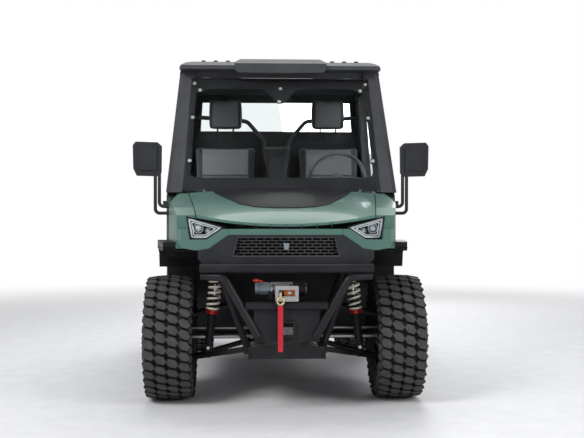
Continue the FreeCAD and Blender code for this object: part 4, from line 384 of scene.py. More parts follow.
# %% [markdown]
# Outlines are pairs of numbers. A corner of a moulding is never sharp, and a rim follows its outline at an even
# distance. Two moves give this to any outline: one rounds its corners, the other draws its sides inwards.

# %% Outline moves


def inset(outline, amount):
    """A convex outline with each side moved inwards."""
    centre = sum((Vector(point) for point in outline), Vector((0, 0))) / len(outline)
    lines = []
    for index, point in enumerate(outline):
        one, other = Vector(point), Vector(outline[(index + 1) % len(outline)])
        way = (other - one).normalized()
        inward = Vector((-way.y, way.x))
        if inward.dot(centre - one) < 0:
            inward = -inward
        lines.append((one + inward * amount, way))
    corners = []
    for index, (spot, way) in enumerate(lines):
        before_spot, before_way = lines[index - 1]
        cross = before_way.x * way.y - before_way.y * way.x
        gap = spot - before_spot
        share = (gap.x * way.y - gap.y * way.x) / cross
        corners.append(tuple(before_spot + before_way * share))
    return corners


def rounded(outline, radius, steps=6):
    """An outline whose corners are arcs."""
    made = []
    count = len(outline)
    for index in range(count):
        here = Vector(outline[index])
        back = Vector(outline[index - 1]) - here
        ahead = Vector(outline[(index + 1) % count]) - here
        reach = min(radius, back.length * 0.45, ahead.length * 0.45)
        start = here + back.normalized() * reach
        end = here + ahead.normalized() * reach
        for step in range(steps + 1):
            share = step / steps
            made.append(tuple(start * (1 - share) ** 2 + here * 2 * share * (1 - share) + end * share ** 2))
    return made


def oblong(low_u, high_u, low_v, high_v):
    """The four corners of an upright oblong."""
    return [(low_u, low_v), (high_u, low_v), (high_u, high_v), (low_u, high_v)]


print("a rounded oblong has", len(rounded(oblong(0, 1, 0, 1), 0.1)), "points")

# %% [markdown]
# A finished unit is one object that rides on a body of the frame. The first helper below turns the faces outwards,
# makes the object and ties it to its body. The second reads the separate solids of an exact part, so that a detail
# can stand where the part is, without numbers copied by hand.

# %% Finished pieces and exact places
SHARP_ANGLE = math.radians(32)


def finished(name, bm, body, finishes, replaced=()):
    """Turns the faces outwards, makes the object and lets it ride on its body."""
    bmesh.ops.recalc_face_normals(bm, faces=bm.faces)
    mesh = bpy.data.meshes.new(name)
    bm.to_mesh(mesh)
    bm.free()
    mesh.set_sharp_from_angle(angle=SHARP_ANGLE)
    item = bpy.data.objects.new(name, mesh)
    for finish in finishes:
        mesh.materials.append(FINISHES[finish])
    bpy.context.scene.collection.objects.link(item)
    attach(item, body)
    if replaced:
        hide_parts(*replaced)
    print(name, len(mesh.polygons), "faces")
    return item


def corners_of(spots):
    """The lowest and the highest corner of a set of points."""
    return (Vector([min(spot[axis] for spot in spots) for axis in range(3)]),
            Vector([max(spot[axis] for spot in spots) for axis in range(3)]))


def islands(name):
    """The separate solids of an exact part, as boxes with their points, sorted from -X to +X."""
    bm = bmesh.new()
    bm.from_mesh(NODES[name].data)
    bmesh.ops.remove_doubles(bm, verts=bm.verts, dist=1e-6)
    left = set(bm.verts)
    boxes = []
    while left:
        group = [left.pop()]
        for vert in group:
            for edge in vert.link_edges:
                other = edge.other_vert(vert)
                if other in left:
                    left.remove(other)
                    group.append(other)
        spots = [vert.co.copy() for vert in group]
        boxes.append((*corners_of(spots), spots))
    bm.free()
    return sorted(boxes, key=lambda box: (round(box[0].x, 3), box[0].y))


print("shocks:", len(islands("shocks")), "solids")

# %% [markdown]
# What repeats, such as tread blocks, bolts and bricks, is laid out by Geometry Nodes: a small group makes one piece
# and sets it on many points. Copying meshes in a loop would do it too, but a group keeps its few measures as named
# inputs. These helpers start a group, join parts, close the group, and take the grown result as a plain mesh.

# %% Node groups


def group_with(name, inputs):
    """A node group with a geometry in and out and named inputs; returns the tree and its inputs."""
    tree = bpy.data.node_groups.new(name, "GeometryNodeTree")
    tree.interface.new_socket("Geometry", in_out="INPUT", socket_type="NodeSocketGeometry")
    for label, kind, value in inputs:
        socket = tree.interface.new_socket(label, in_out="INPUT", socket_type="NodeSocket" + kind)
        if value is not None:
            socket.default_value = value
    tree.interface.new_socket("Geometry", in_out="OUTPUT", socket_type="NodeSocketGeometry")
    return tree, tree.nodes.new("NodeGroupInput").outputs


def joined(tree, *parts):
    """Several geometries as one."""
    item = tree.nodes.new("GeometryNodeJoinGeometry")
    for part in parts:
        tree.links.new(part, item.inputs[0])
    return item.outputs[0]


def extruded(tree, mesh, height, **more):
    """A mesh pushed out along its normals as one region; returns all outputs of the node."""
    return wire(tree, "GeometryNodeExtrudeMesh",
                {"Mesh": mesh, "Offset Scale": height, "Individual": False, **more}).node.outputs


def made_real(tree, geometry):
    """Instances turned into a real mesh."""
    return wire(tree, "GeometryNodeRealizeInstances", {"Geometry": geometry})


def close_group(tree, geometry, material):
    """Sets the material of the geometry and sends it out."""
    painted = wire(tree, "GeometryNodeSetMaterial", {"Geometry": geometry, "Material": material})
    tree.links.new(painted, tree.nodes.new("NodeGroupOutput").inputs[0])
    print(tree.name, len(tree.nodes), "nodes")
    return tree


def grown(item, tree, values):
    """Runs a group on an object and keeps the result as its plain mesh."""
    modifier = item.modifiers.new("grown", "NODES")
    modifier.node_group = tree
    sockets = {socket.name: socket.identifier for socket in tree.interface.items_tree if socket.in_out == "INPUT"}
    for label, value in values.items():
        modifier[sockets[label]] = value
    view = bpy.context.evaluated_depsgraph_get()
    mesh = bpy.data.meshes.new_from_object(item.evaluated_get(view), preserve_all_data_layers=True, depsgraph=view)
    item.modifiers.remove(modifier)
    item.data = mesh


print("group helpers ready")

# %% [markdown]
# A mud tyre's tread is made of slanted six-sided blocks with a narrower, rubbed top. A block could be a carved cube.
# Here a six-sided plate is leaned, sized and pushed out twice, and its top faces are marked, so that the rubber can
# show them lighter, partly as wear and partly as a painted highlight where the light falls on the tops.

# %% A tread block
BLOCK_CORNERS = 6
WALL_SHARE = 0.72
CHAMFER_SHARE = 0.28
TOP_SCALE = 0.86


def block_shape(tree, wide, long, high, slant):
    """A slanted six-sided block with a chamfered top, whose top face is marked for wear and a painted highlight."""
    flat = wire(tree, "GeometryNodeMeshCircle", {"Vertices": BLOCK_CORNERS, "Radius": 1.0}, fill_type="NGON")
    across = wire(tree, "ShaderNodeSeparateXYZ", {0: wire(tree, "GeometryNodeInputPosition")}, "X")
    lean = maths(tree, "MULTIPLY", across, maths(tree, "MULTIPLY", slant, -1.0))
    offset = wire(tree, "ShaderNodeCombineXYZ", {"Y": lean})
    leaned = wire(tree, "GeometryNodeSetPosition", {"Geometry": flat, "Offset": offset})
    size = wire(tree, "ShaderNodeCombineXYZ", {"X": wide, "Y": long, "Z": 1.0})
    sized = wire(tree, "GeometryNodeTransform", {"Geometry": leaned, "Scale": size})
    raised = extruded(tree, sized, maths(tree, "MULTIPLY", high, WALL_SHARE))
    capped = extruded(tree, raised["Mesh"], maths(tree, "MULTIPLY", high, CHAMFER_SHARE), Selection=raised["Top"])
    narrowed = wire(tree, "GeometryNodeScaleElements",
                    {"Geometry": capped["Mesh"], "Selection": capped["Top"], "Scale": TOP_SCALE})
    # The top faces are marked for a lighter colour: partly wear, partly a painted highlight.
    return wire(tree, "GeometryNodeStoreNamedAttribute",
                {"Geometry": narrowed, "Selection": capped["Top"], "Name": "wear_and_highlight", "Value": 1.0},
                data_type="FLOAT", domain="FACE")


print("a block has", BLOCK_CORNERS, "corners")

# %% [markdown]
# The photograph shows four rows of such blocks, each row a step round from the next, with bright tops, dark
# grooves between, and chunky lugs that fold over the shoulder; the bright tops are partly wear and partly a painted
# highlight. The group sets one block per pitch round the axle for every row, and one lug at each shoulder. A seeded
# change of length keeps the rows from looking machine-made.

# %% Tread as nodes
TREAD_INPUTS = (
    ("Radius", "Float", 0.343),
    ("Half width", "Float", 0.129),
    ("Pitches", "Int", 36),
    ("Block height", "Float", 0.017),
    ("Slant", "Float", 0.35),
    ("Seed", "Int", 3),
    ("Rubber", "Material", None),
)
ROWS = (
    # place across in row steps, share of the pitch round, drop from the crown, tilt in degrees
    (-1.5, 0.00, 0.0060, -9),
    (-0.5, 0.40, 0.0005, -2),
    (0.5, 0.72, 0.0005, 2),
    (1.5, 1.12, 0.0060, 9),
)
ROW_STEP = 0.475
BLOCK_WIDTH = 0.61
BLOCK_LENGTH = 0.50
SHORTEST, LONGEST = 0.95, 1.02
LUG_WIDTH, LUG_LENGTH, LUG_HEIGHT, LUG_SLANT = 0.026, 0.44, 0.55, 0.1
LUG_INWARDS, LUG_DROP, LUG_TILT = 0.0125, 0.044, 66
LUG_SHIFTS = {-1: 0.5, 1: 0.62}


def round_the_wheel(tree, shape, count, turn, shift, seed):
    """Copies of a shape round the X axis, with a small change of length from copy to copy."""
    points = wire(tree, "GeometryNodePoints", {"Count": count})
    number = wire(tree, "GeometryNodeInputIndex")
    angle = maths(tree, "MULTIPLY", maths(tree, "ADD", number, shift), turn)
    rotation = wire(tree, "ShaderNodeCombineXYZ", {"X": angle})
    long = wire(tree, "FunctionNodeRandomValue", {2: SHORTEST, 3: LONGEST, "ID": number, "Seed": seed}, 1)
    scale = wire(tree, "ShaderNodeCombineXYZ", {"X": 1.0, "Y": long, "Z": 1.0})
    return wire(tree, "GeometryNodeInstanceOnPoints",
                {"Points": points, "Instance": shape, "Rotation": rotation, "Scale": scale})


def on_the_crown(tree, shape, across, up, tilt):
    """A shape moved to its row at the top of the wheel, and tilted with the crown."""
    spot = wire(tree, "ShaderNodeCombineXYZ", {"X": across, "Z": up})
    return wire(tree, "GeometryNodeTransform",
                {"Geometry": shape, "Translation": spot, "Rotation": (0, math.radians(tilt), 0)})


def tread_group():
    """Four rows of blocks and two rows of shoulder lugs, on whatever carcass is given."""
    tree, given = group_with("mud_tread", TREAD_INPUTS)
    radius, half, high, seed = (given[label] for label in ("Radius", "Half width", "Block height", "Seed"))
    turn = maths(tree, "DIVIDE", 2 * math.pi, given["Pitches"])
    pitch = maths(tree, "MULTIPLY", turn, radius)
    step = maths(tree, "MULTIPLY", half, ROW_STEP)
    block = block_shape(tree, maths(tree, "MULTIPLY", step, BLOCK_WIDTH),
                        maths(tree, "MULTIPLY", pitch, BLOCK_LENGTH), high, given["Slant"])
    parts = []
    for place, shift, drop, tilt in ROWS:
        across = maths(tree, "MULTIPLY", step, place)
        up = maths(tree, "SUBTRACT", maths(tree, "SUBTRACT", radius, high), drop)
        moved = on_the_crown(tree, block, across, up, tilt)
        parts.append(round_the_wheel(tree, moved, given["Pitches"], turn, shift, seed))
    lug = block_shape(tree, LUG_WIDTH, maths(tree, "MULTIPLY", pitch, LUG_LENGTH),
                      maths(tree, "MULTIPLY", high, LUG_HEIGHT), LUG_SLANT)
    for side, shift in LUG_SHIFTS.items():
        across = maths(tree, "MULTIPLY", maths(tree, "SUBTRACT", half, LUG_INWARDS), side)
        moved = on_the_crown(tree, lug, across, maths(tree, "SUBTRACT", radius, LUG_DROP), side * LUG_TILT)
        parts.append(round_the_wheel(tree, moved, given["Pitches"], turn, shift, seed))
    solid = made_real(tree, joined(tree, *parts))
    return close_group(tree, joined(tree, solid, given["Geometry"]), given["Rubber"])


TREAD = tread_group()

# %% [markdown]
# Used rubber is not one black: the block tops are rubbed lighter, in patches, and they also catch the light, so
# their lighter colour is partly wear and partly a painted highlight. Painting that by hand would take a layout. The
# mark left by the tread group and a noise choose the lighter colour instead.

# %% Worn rubber with a painted highlight
# Lighter colour of the block tops: partly wear, partly a painted highlight.
RUBBED_AND_HIGHLIGHT_COLOUR = (0.075, 0.075, 0.077)
PATCH_SCALE = 26.0
LEAST_WEAR_AND_HIGHLIGHT = 0.55


def overlaid(tree, shader, share, colour):
    """Lays a second colour over a finish where a share says so."""
    base = shader.inputs["Base Color"].links[0].from_socket
    tree.links.new(blended(tree, share, base, colour), shader.inputs["Base Color"])


def rubbed_and_highlit_rubber():
    """Dark rubber whose block tops are lighter, partly as wear and partly as a painted highlight."""
    tree = FINISHES["tyre_rubber"].node_tree
    # The top mark times a patchy noise lays on the lighter colour, partly wear and partly a painted highlight.
    top = wire(tree, "ShaderNodeAttribute", None, "Fac", attribute_name="wear_and_highlight")
    patchy = spread(tree, object_noise(tree, PATCH_SCALE), LEAST_WEAR_AND_HIGHLIGHT, 1.0)
    overlaid(tree, tree.nodes["Principled BSDF"], maths(tree, "MULTIPLY", top, patchy), RUBBED_AND_HIGHLIGHT_COLOUR)
    print("rubber nodes", len(tree.nodes))


rubbed_and_highlit_rubber()

# %% [markdown]
# The carcass under the blocks is a moulded ring: bead, bulging side wall with a few raised rings, and a flat crown.
# It could be a scaled torus, but a turned section keeps the side wall's steps. The group then adds the tread, and
# the whole is put in its place on the axle.

# %% Tyres
RUBBER_SECTION = (
    # share of the half width, distance below the tread's top
    (0.70, 0.165), (0.76, 0.158), (0.86, 0.140), (0.865, 0.132), (0.93, 0.112), (0.935, 0.106), (0.955, 0.088),
    (0.96, 0.070), (0.935, 0.052), (0.90, 0.034), (0.80, 0.0225), (0.50, 0.0185), (0.20, 0.0175),
)
TYRE_SIDES = 72
TYRE_PITCHES = 36
TYRE_CLEAR = 0.0005
TREAD_SHARP = math.radians(28)


def box_of(name):
    """The lowest and the highest corner of an exact part."""
    return [Vector(corner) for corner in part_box(name)]


def mud_tyre(name, body):
    """One tyre, as large as its exact part."""
    low, high = box_of(name)
    half = (high.x - low.x) / 2
    radius = (high.z - low.z) / 2
    bm = bmesh.new()
    rings = []
    for share, drop in [(-x, drop) for x, drop in RUBBER_SECTION] + list(RUBBER_SECTION[::-1]):
        rings.append([
            bm.verts.new((share * half, -math.sin(turn) * (radius - drop), math.cos(turn) * (radius - drop)))
            for turn in (2 * math.pi * index / TYRE_SIDES for index in range(TYRE_SIDES))])
    for one, other in zip(rings, rings[1:] + rings[:1]):
        skirt(bm, one, other)
    item = finished(name + "_mud", bm, body, ["tyre_rubber"], [name])
    grown(item, TREAD, {"Radius": radius - TYRE_CLEAR, "Half width": half - TYRE_CLEAR, "Pitches": TYRE_PITCHES,
                        "Rubber": FINISHES["tyre_rubber"]})
    item.data.transform(Matrix.Translation((low + high) / 2))
    item.data.set_sharp_from_angle(angle=TREAD_SHARP)
    print(item.name, len(item.data.polygons), "faces with its tread")


for corner in ("front_left", "front_right", "rear_left", "rear_right"):
    mud_tyre("tyre_" + corner, "wheel_" + corner)

# %% [markdown]
# Bright domed bolts hold many panels. A bolt is a low washer with a domed head. Each could be an object of its own,
# but one group sets the same bolt on every point of a mesh, and each point carries the way its bolt faces and the
# bolt's size.

# %% Bolts as nodes
BOLT_INPUTS = (
    ("Head height", "Float", 0.55),
    ("Metal", "Material", None),
)
BOLT_SHARP = math.radians(25)


def bolt_group():
    """One bolt on every given point."""
    tree, given = group_with("domed_bolts", BOLT_INPUTS)
    washer = wire(tree, "GeometryNodeMeshCylinder", {"Vertices": 12, "Radius": 1.0, "Depth": 0.3})
    raised = wire(tree, "GeometryNodeTransform", {"Geometry": washer, "Translation": (0, 0, 0.1)})
    head = wire(tree, "GeometryNodeMeshCone",
                {"Vertices": 10, "Radius Top": 0.36, "Radius Bottom": 0.72, "Depth": given["Head height"]})
    lifted = wire(tree, "GeometryNodeTransform", {"Geometry": head, "Translation": (0, 0, 0.24)})
    bolt = joined(tree, raised, lifted)
    facing = wire(tree, "GeometryNodeInputNamedAttribute", {"Name": "facing"}, data_type="FLOAT_VECTOR")
    size = wire(tree, "GeometryNodeInputNamedAttribute", {"Name": "size"}, data_type="FLOAT")
    turned_to = wire(tree, "FunctionNodeAlignRotationToVector", {"Vector": facing}, axis="Z")
    placed = wire(tree, "GeometryNodeInstanceOnPoints",
                  {"Points": given["Geometry"], "Instance": bolt, "Rotation": turned_to, "Scale": size})
    return close_group(tree, made_real(tree, placed), given["Metal"])


BOLT = bolt_group()
grained("zinc_bolt", (0.56, 0.56, 0.55), (0.70, 0.70, 0.69), 0.28, 1500, 0.1, metallic=0.85)


def bolts(name, body, spots, finish="zinc_bolt", head=0.55):
    """One object of bolts, from triples of place, facing and radius."""
    mesh = bpy.data.meshes.new(name)
    mesh.from_pydata([tuple(place) for place, _, _ in spots], [], [])
    mesh.attributes.new("facing", "FLOAT_VECTOR", "POINT")
    mesh.attributes.new("size", "FLOAT", "POINT")
    for index, (_, way, radius) in enumerate(spots):
        mesh.attributes["facing"].data[index].vector = Vector(way).normalized()
        mesh.attributes["size"].data[index].value = radius
    item = bpy.data.objects.new(name, mesh)
    bpy.context.scene.collection.objects.link(item)
    grown(item, BOLT, {"Head height": head, "Metal": FINISHES[finish]})
    item.data.set_sharp_from_angle(angle=BOLT_SHARP)
    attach(item, body)
    print(name, len(spots), "bolts")


# %% [markdown]
# The windscreen is a pane with a black printed border: a wide band along the top with rounded lobes round the bolts,
# narrow sides and a low band along the cowl. A cut-out mask could draw it, but the print is made as a thin ring of
# its own, because its edge must stay sharp. These moves find places on the pane and the pane's own corners.

# %% Places on the windscreen
SCREEN_LOW = Vector((0, -0.722, 1.157))
SCREEN_HIGH = Vector((0, -0.352, 1.915))
SCREEN_WAY = (SCREEN_HIGH - SCREEN_LOW).normalized()
SCREEN_OUT = Vector((0, -SCREEN_WAY.z, SCREEN_WAY.y))
EDGE_REACH = 0.03
grained("black_print", (0.006, 0.006, 0.007), (0.010, 0.010, 0.012), 0.45, 500, 0.01)


def on_screen(x, z, out=0.0):
    """A point on the windscreen's plane, or a little in front of it."""
    share = (z - SCREEN_LOW.z) / (SCREEN_HIGH.z - SCREEN_LOW.z)
    spot = SCREEN_LOW.lerp(SCREEN_HIGH, share)
    return Vector((x, spot.y, spot.z)) + SCREEN_OUT * out


def screen_corners():
    """Low and high edge of the pane, and its half widths there, each a little inside the glass."""
    low, high, spots = min(islands("cab_glass"), key=lambda box: box[0].y)
    foot = max(abs(spot.x) for spot in spots if spot.z < low.z + EDGE_REACH)
    head = max(abs(spot.x) for spot in spots if spot.z > high.z - EDGE_REACH)
    return low.z + 0.006, high.z - 0.004, foot - 0.003, head - 0.003


def ray_to_polygon(centre, way, corners):
    """How far it is from a centre to an outline, in a direction."""
    best = 9.0
    for one, other in zip(corners, corners[1:] + corners[:1]):
        edge = Vector(other) - Vector(one)
        cross = way.x * edge.y - way.y * edge.x
        if abs(cross) < 1e-9:
            continue
        gap = Vector(one) - centre
        along = (gap.x * edge.y - gap.y * edge.x) / cross
        share = (gap.x * way.y - gap.y * way.x) / cross
        if along > 0 and -1e-6 <= share <= 1 + 1e-6:
            best = min(best, along)
    return best


print("windscreen corners", [round(value, 3) for value in screen_corners()])

# %% [markdown]
# The clear field is found by going outwards from the middle of the pane until the border begins. At the top it dips
# in smooth lobes, which two bell curves give without a drawn outline. Small pads stand under the bolts.

# %% Windscreen border
SIDE_BAND = 0.034
CLEAR_LOW = 1.245
CLEAR_HIGH = 1.812
CLEAR_CORNER = 0.045
BORDER_STEPS = 480
CREEP = 0.0005
NARROWEST = 0.004
PADS = ((-0.540, 1.620), (0.540, 1.620), (-0.550, 1.347), (0.550, 1.347), (-0.535, 1.844), (0.535, 1.844))
SCREEN_BOLTS = ((-0.535, 1.844), (0.535, 1.844), (-0.500, 1.800), (0.500, 1.800), (0.0, 1.812), (-0.008, 1.726),
                (-0.540, 1.620), (0.540, 1.620), (-0.550, 1.347), (0.550, 1.347))
SCREEN_BOLT = 0.0105


def top_edge(x):
    """Height of the clear field's upper edge, which dips round the middle and the corner bolts."""
    middle = 0.100 * math.exp(-abs(x / 0.072) ** 2.4)
    corner = 0.030 * math.exp(-((abs(x) - 0.505) / 0.040) ** 2)
    return CLEAR_HIGH - middle - corner


def screen_border():
    """The printed border and the pads on it."""
    low, high, foot, head = screen_corners()
    outer = [(-foot, low), (foot, low), (head, high), (-head, high)]
    slope = (head - foot) / (high - low)
    edge_low = foot + slope * (CLEAR_LOW - low) - SIDE_BAND
    edge_high = foot + slope * (CLEAR_HIGH - low) - SIDE_BAND
    clear = rounded([(-edge_low, CLEAR_LOW), (edge_low, CLEAR_LOW), (edge_high, CLEAR_HIGH),
                     (-edge_high, CLEAR_HIGH)], CLEAR_CORNER, 8)
    centre = Vector((0, (CLEAR_LOW + CLEAR_HIGH) / 2))
    rings = [[], []]
    for index in range(BORDER_STEPS):
        turn = 2 * math.pi * index / BORDER_STEPS
        way = Vector((math.cos(turn), math.sin(turn)))
        far = ray_to_polygon(centre, way, outer)
        near = ray_to_polygon(centre, way, clear)
        while way.y > 0 and centre.y + way.y * near > top_edge(way.x * near):
            near -= CREEP
        rings[0].append(tuple(centre + way * far))
        rings[1].append(tuple(centre + way * min(near, far - NARROWEST)))
    bm = bmesh.new()
    band(bm, rings[0], rings[1], lambda u, v, depth: on_screen(u, v, 0.0016 - depth), 0.0012, 0)
    for x, z in PADS:
        pad = oblong(x - 0.013, x + 0.013, z - 0.017, z + 0.017)
        plate(bm, rounded(pad, 0.005, 3), lambda u, v, depth: on_screen(u, v, 0.005 - depth), 0.0046, 0, 0.0015)
    finished("screen_border", bm, "frame", ["black_print"])


screen_border()
bolts("screen_bolts", "frame",
      [(on_screen(x, z, 0.0045), SCREEN_OUT, SCREEN_BOLT) for x, z in SCREEN_BOLTS])

# %% [markdown]
# Each headlamp is a deep dark bowl behind a clear cover. A pale band of light guide follows its rim, a thinner line
# runs inside it, and a round projector sits near the inner end. A picture of a lamp on a flat face would look dead
# from the side, so every layer is a real ring or a turned body, set back to its own depth.

# %% Headlamps
LAMP_OUTLINE = [(0.316, 0.958), (0.525, 1.016), (0.503, 0.893), (0.417, 0.893)]
LAMP_FRONT = -1.327
BOWL_DEPTH = 0.084
LAMP_RINGS = (
    # outer inset, inner inset, how far back, depth, finish
    (0.008, 0.017, 0.006, 0.010, 1),
    (0.021, 0.0245, 0.018, 0.008, 2),
    (0.0245, 0.030, 0.030, 0.020, 0),
)
PROJECTORS = ((0.462, 0.951, 0.9), (0.412, 0.938, 0.5))
PROJECTOR_PARTS = (
    # section at full size, finish: barrel, lens and bright ring
    (((0.0, 0.030), (0.052, 0.026), (0.058, 0.0265), (0.058, 0.0225), (0.050, 0.0220)), 0),
    (((0.046, 0.0225), (0.054, 0.0215), (0.060, 0.0165), (0.0635, 0.009), (0.0645, 0.002)), 3),
    (((0.053, 0.0285), (0.0575, 0.0285), (0.0575, 0.0235), (0.053, 0.0235)), 2),
)
grained("light_guide", (0.50, 0.53, 0.57), (0.62, 0.65, 0.69), 0.25, 500, 0.03, coat=0.6)
grained("chrome", (0.80, 0.81, 0.82), (0.88, 0.89, 0.90), 0.08, 900, 0.01, metallic=1.0)
grained("lamp_inside", (0.012, 0.013, 0.015), (0.024, 0.025, 0.028), 0.3, 700, 0.1)
grained("lens_glass", (0.30, 0.34, 0.40), (0.48, 0.53, 0.58), 0.05, 60, 0.05, coat=1.0)


def lamp_unit(bm, side):
    """One lamp of the pair."""
    def at(back):
        return flat_plane(LAMP_FRONT + back, side)

    shrunk = rounded(inset(LAMP_OUTLINE, 0.007), 0.010)
    band(bm, rounded(LAMP_OUTLINE, 0.012), shrunk, at(0.0), 0.090, 0)
    plate(bm, shrunk, at(BOWL_DEPTH), 0.006, 0)
    for outer, inner, back, deep, slot in LAMP_RINGS:
        band(bm, rounded(inset(LAMP_OUTLINE, outer), 0.009), rounded(inset(LAMP_OUTLINE, inner), 0.007), at(back),
             deep, slot)
    for x, z, size in PROJECTORS:
        for section, slot in PROJECTOR_PARTS:
            turned(bm, (side * x, LAMP_FRONT + BOWL_DEPTH, z), (0, -1, 0),
                   [(along, radius * size) for along, radius in section], slot, 32)
    plate(bm, rounded(inset(LAMP_OUTLINE, 0.0015), 0.011), at(-0.0015), 0.0025, 4, 0.001)


lamps_bm = bmesh.new()
for side in (-1, 1):
    lamp_unit(lamps_bm, side)
finished("headlamp_units", lamps_bm, "frame",
         ["lamp_inside", "light_guide", "chrome", "lens_glass", "clear_glass"], ["headlamps"])

# %% [markdown]
# A coil-over shock stands at each corner: a cream spring of round wire between two seats, a red adjusting collar
# under it, a dark damper body, a bright rod, and a bushed eye at each end with its bolt. The spring could be a screw
# modifier, but a path of points lets its last turns lie flat on their seats, as on a real spring.

# %% Coil-over shocks
grained("red_anodised", (0.42, 0.02, 0.02), (0.55, 0.04, 0.03), 0.3, 900, 0.05, metallic=0.6)
SPRING_COILS = 7.0
SPRING_RADIUS = 0.0325
WIRE_RADIUS = 0.0063
COIL_STEPS = 26
FLAT_TURNS = 0.75
COLLAR_RISE = 0.200
FOOT_X, TOP_X, EYE_RISE = 0.420, 0.372, 0.015
EYE_PARTS = (
    # start along the eye's axis, section, finish, sides, smooth: bushing, sleeve and bolt
    (-0.017, ((0.0, 0.0135), (0.0015, 0.015), (0.0325, 0.015), (0.034, 0.0135)), 1, 24, True),
    (-0.0225, ((0.0, 0.0075), (0.0005, 0.009), (0.0445, 0.009), (0.045, 0.0075)), 3, 16, True),
    (-0.027, ((0.0, 0.0060), (0.006, 0.0066), (0.048, 0.0066), (0.054, 0.0060)), 3, 6, False),
)


def helix(start, end):
    """The spring's coil, whose first and last three quarters of a turn lie flat on their seats."""
    along, across, other = frame_of(end - start)
    length = (end - start).length
    path = []
    total = int(SPRING_COILS * COIL_STEPS)
    for index in range(total + 1):
        turn = SPRING_COILS * index / total
        rise = min(max((turn - FLAT_TURNS) / (SPRING_COILS - 2 * FLAT_TURNS), 0), 1)
        angle = 2 * math.pi * turn
        out = (across * math.cos(angle) + other * math.sin(angle)) * SPRING_RADIUS
        path.append(start + along * (rise * length) + out)
    return path


def shock(bm, low, high):
    """One shock between its two eyes, from the box of its exact solid."""
    side = 1 if (low.x + high.x) > 0 else -1
    middle = (low.y + high.y) / 2
    foot = Vector((side * FOOT_X, middle, low.z + EYE_RISE))
    top = Vector((side * TOP_X, middle, high.z - EYE_RISE))
    along = (top - foot).normalized()
    length = (top - foot).length
    for eye in (foot, top):
        for start, section, slot, sides, smooth in EYE_PARTS:
            turned(bm, eye + Vector((0, start, 0)), (0, 1, 0), section, slot, sides, smooth)
    turned(bm, foot, along, [(0.010, 0.014), (0.020, 0.0215), (0.060, 0.0225), (0.064, 0.0215), (0.068, 0.0225),
                             (length * 0.5 + 0.006, 0.0225), (length * 0.5 + 0.010, 0.020)], 1, 32)
    turned(bm, foot, along, [(length * 0.45, 0.0070), (length - 0.016, 0.0070)], 2, 18)
    turned(bm, foot, along, [(COLLAR_RISE - 0.014, 0.026), (COLLAR_RISE - 0.012, 0.034),
                             (COLLAR_RISE - 0.002, 0.034), (COLLAR_RISE, 0.030)], 4, 24, False)
    turned(bm, foot, along, [(COLLAR_RISE, 0.030), (COLLAR_RISE + 0.001, 0.0395), (COLLAR_RISE + 0.008, 0.0395),
                             (COLLAR_RISE + 0.010, 0.027)], 4, 36)
    turned(bm, foot, along, [(length - 0.030, 0.030), (length - 0.029, 0.0392), (length - 0.021, 0.0395),
                             (length - 0.016, 0.018), (length - 0.010, 0.012)], 1, 36)
    tube(bm, helix(foot + along * (COLLAR_RISE + 0.010 + WIRE_RADIUS), foot + along * (length - 0.030 - WIRE_RADIUS)),
         WIRE_RADIUS, 0, 10)
    turned(bm, foot, along, [(COLLAR_RISE + 0.010, 0.0225), (COLLAR_RISE + 0.090, 0.0225)], 1, 24)
    turned(bm, foot, along, [(length - 0.075, 0.012), (length - 0.070, 0.019), (length - 0.045, 0.021),
                             (length - 0.030, 0.017)], 5, 24)


shocks_bm = bmesh.new()
for low, high, _ in islands("shocks"):
    shock(shocks_bm, low, high)
finished("coil_overs", shocks_bm, "frame",
         ["cream_spring", "powder_coat", "chrome", "zinc_bolt", "red_anodised", "soft_black"], ["shocks"])

# %% [markdown]
# The winch sits on the lower cross tube: a grey-blue motor with a ribbed cap, a drum wound with rope between two
# bright flanges, and a black gear housing. The rope could be a stack of rings. It is one tube wound as a screw
# instead, because its end then lies as a wound rope's does.

# %% Winch motor and drum
grained("winch_grey", (0.20, 0.25, 0.28), (0.28, 0.33, 0.36), 0.32, 900, 0.08, metallic=0.3)
grained("orange_disc", (0.80, 0.16, 0.02), (0.92, 0.24, 0.04), 0.4, 900, 0.05)
grained("signal_red", (0.62, 0.03, 0.02), (0.75, 0.06, 0.03), 0.4, 900, 0.05)
grained("winch_rope", (0.30, 0.30, 0.32), (0.44, 0.44, 0.46), 0.7, 2600, 0.6)
WINCH_Y = -1.345
WINCH_Z = 0.637
WINCH_AXIS = (1, 0, 0)
WINCH_SPOT = Vector((0, WINCH_Y, WINCH_Z))
MOTOR_RIBS = 14
ROPE_TURNS = 12
ROPE_STEPS = 20
MOTOR_CAP = ((-0.164, 0.024), (-0.162, 0.029), (-0.150, 0.031), (-0.148, 0.0295), (-0.142, 0.0295),
             (-0.140, 0.0318), (-0.092, 0.0318), (-0.090, 0.0305), (-0.078, 0.0305))
DRUM_PARTS = (
    # section, sides: two flanges and the core
    (((-0.080, 0.012), (-0.080, 0.036), (-0.072, 0.036), (-0.072, 0.014)), 36),
    (((0.026, 0.014), (0.026, 0.036), (0.034, 0.036), (0.034, 0.012)), 36),
    (((-0.073, 0.012), (0.027, 0.012)), 20),
)


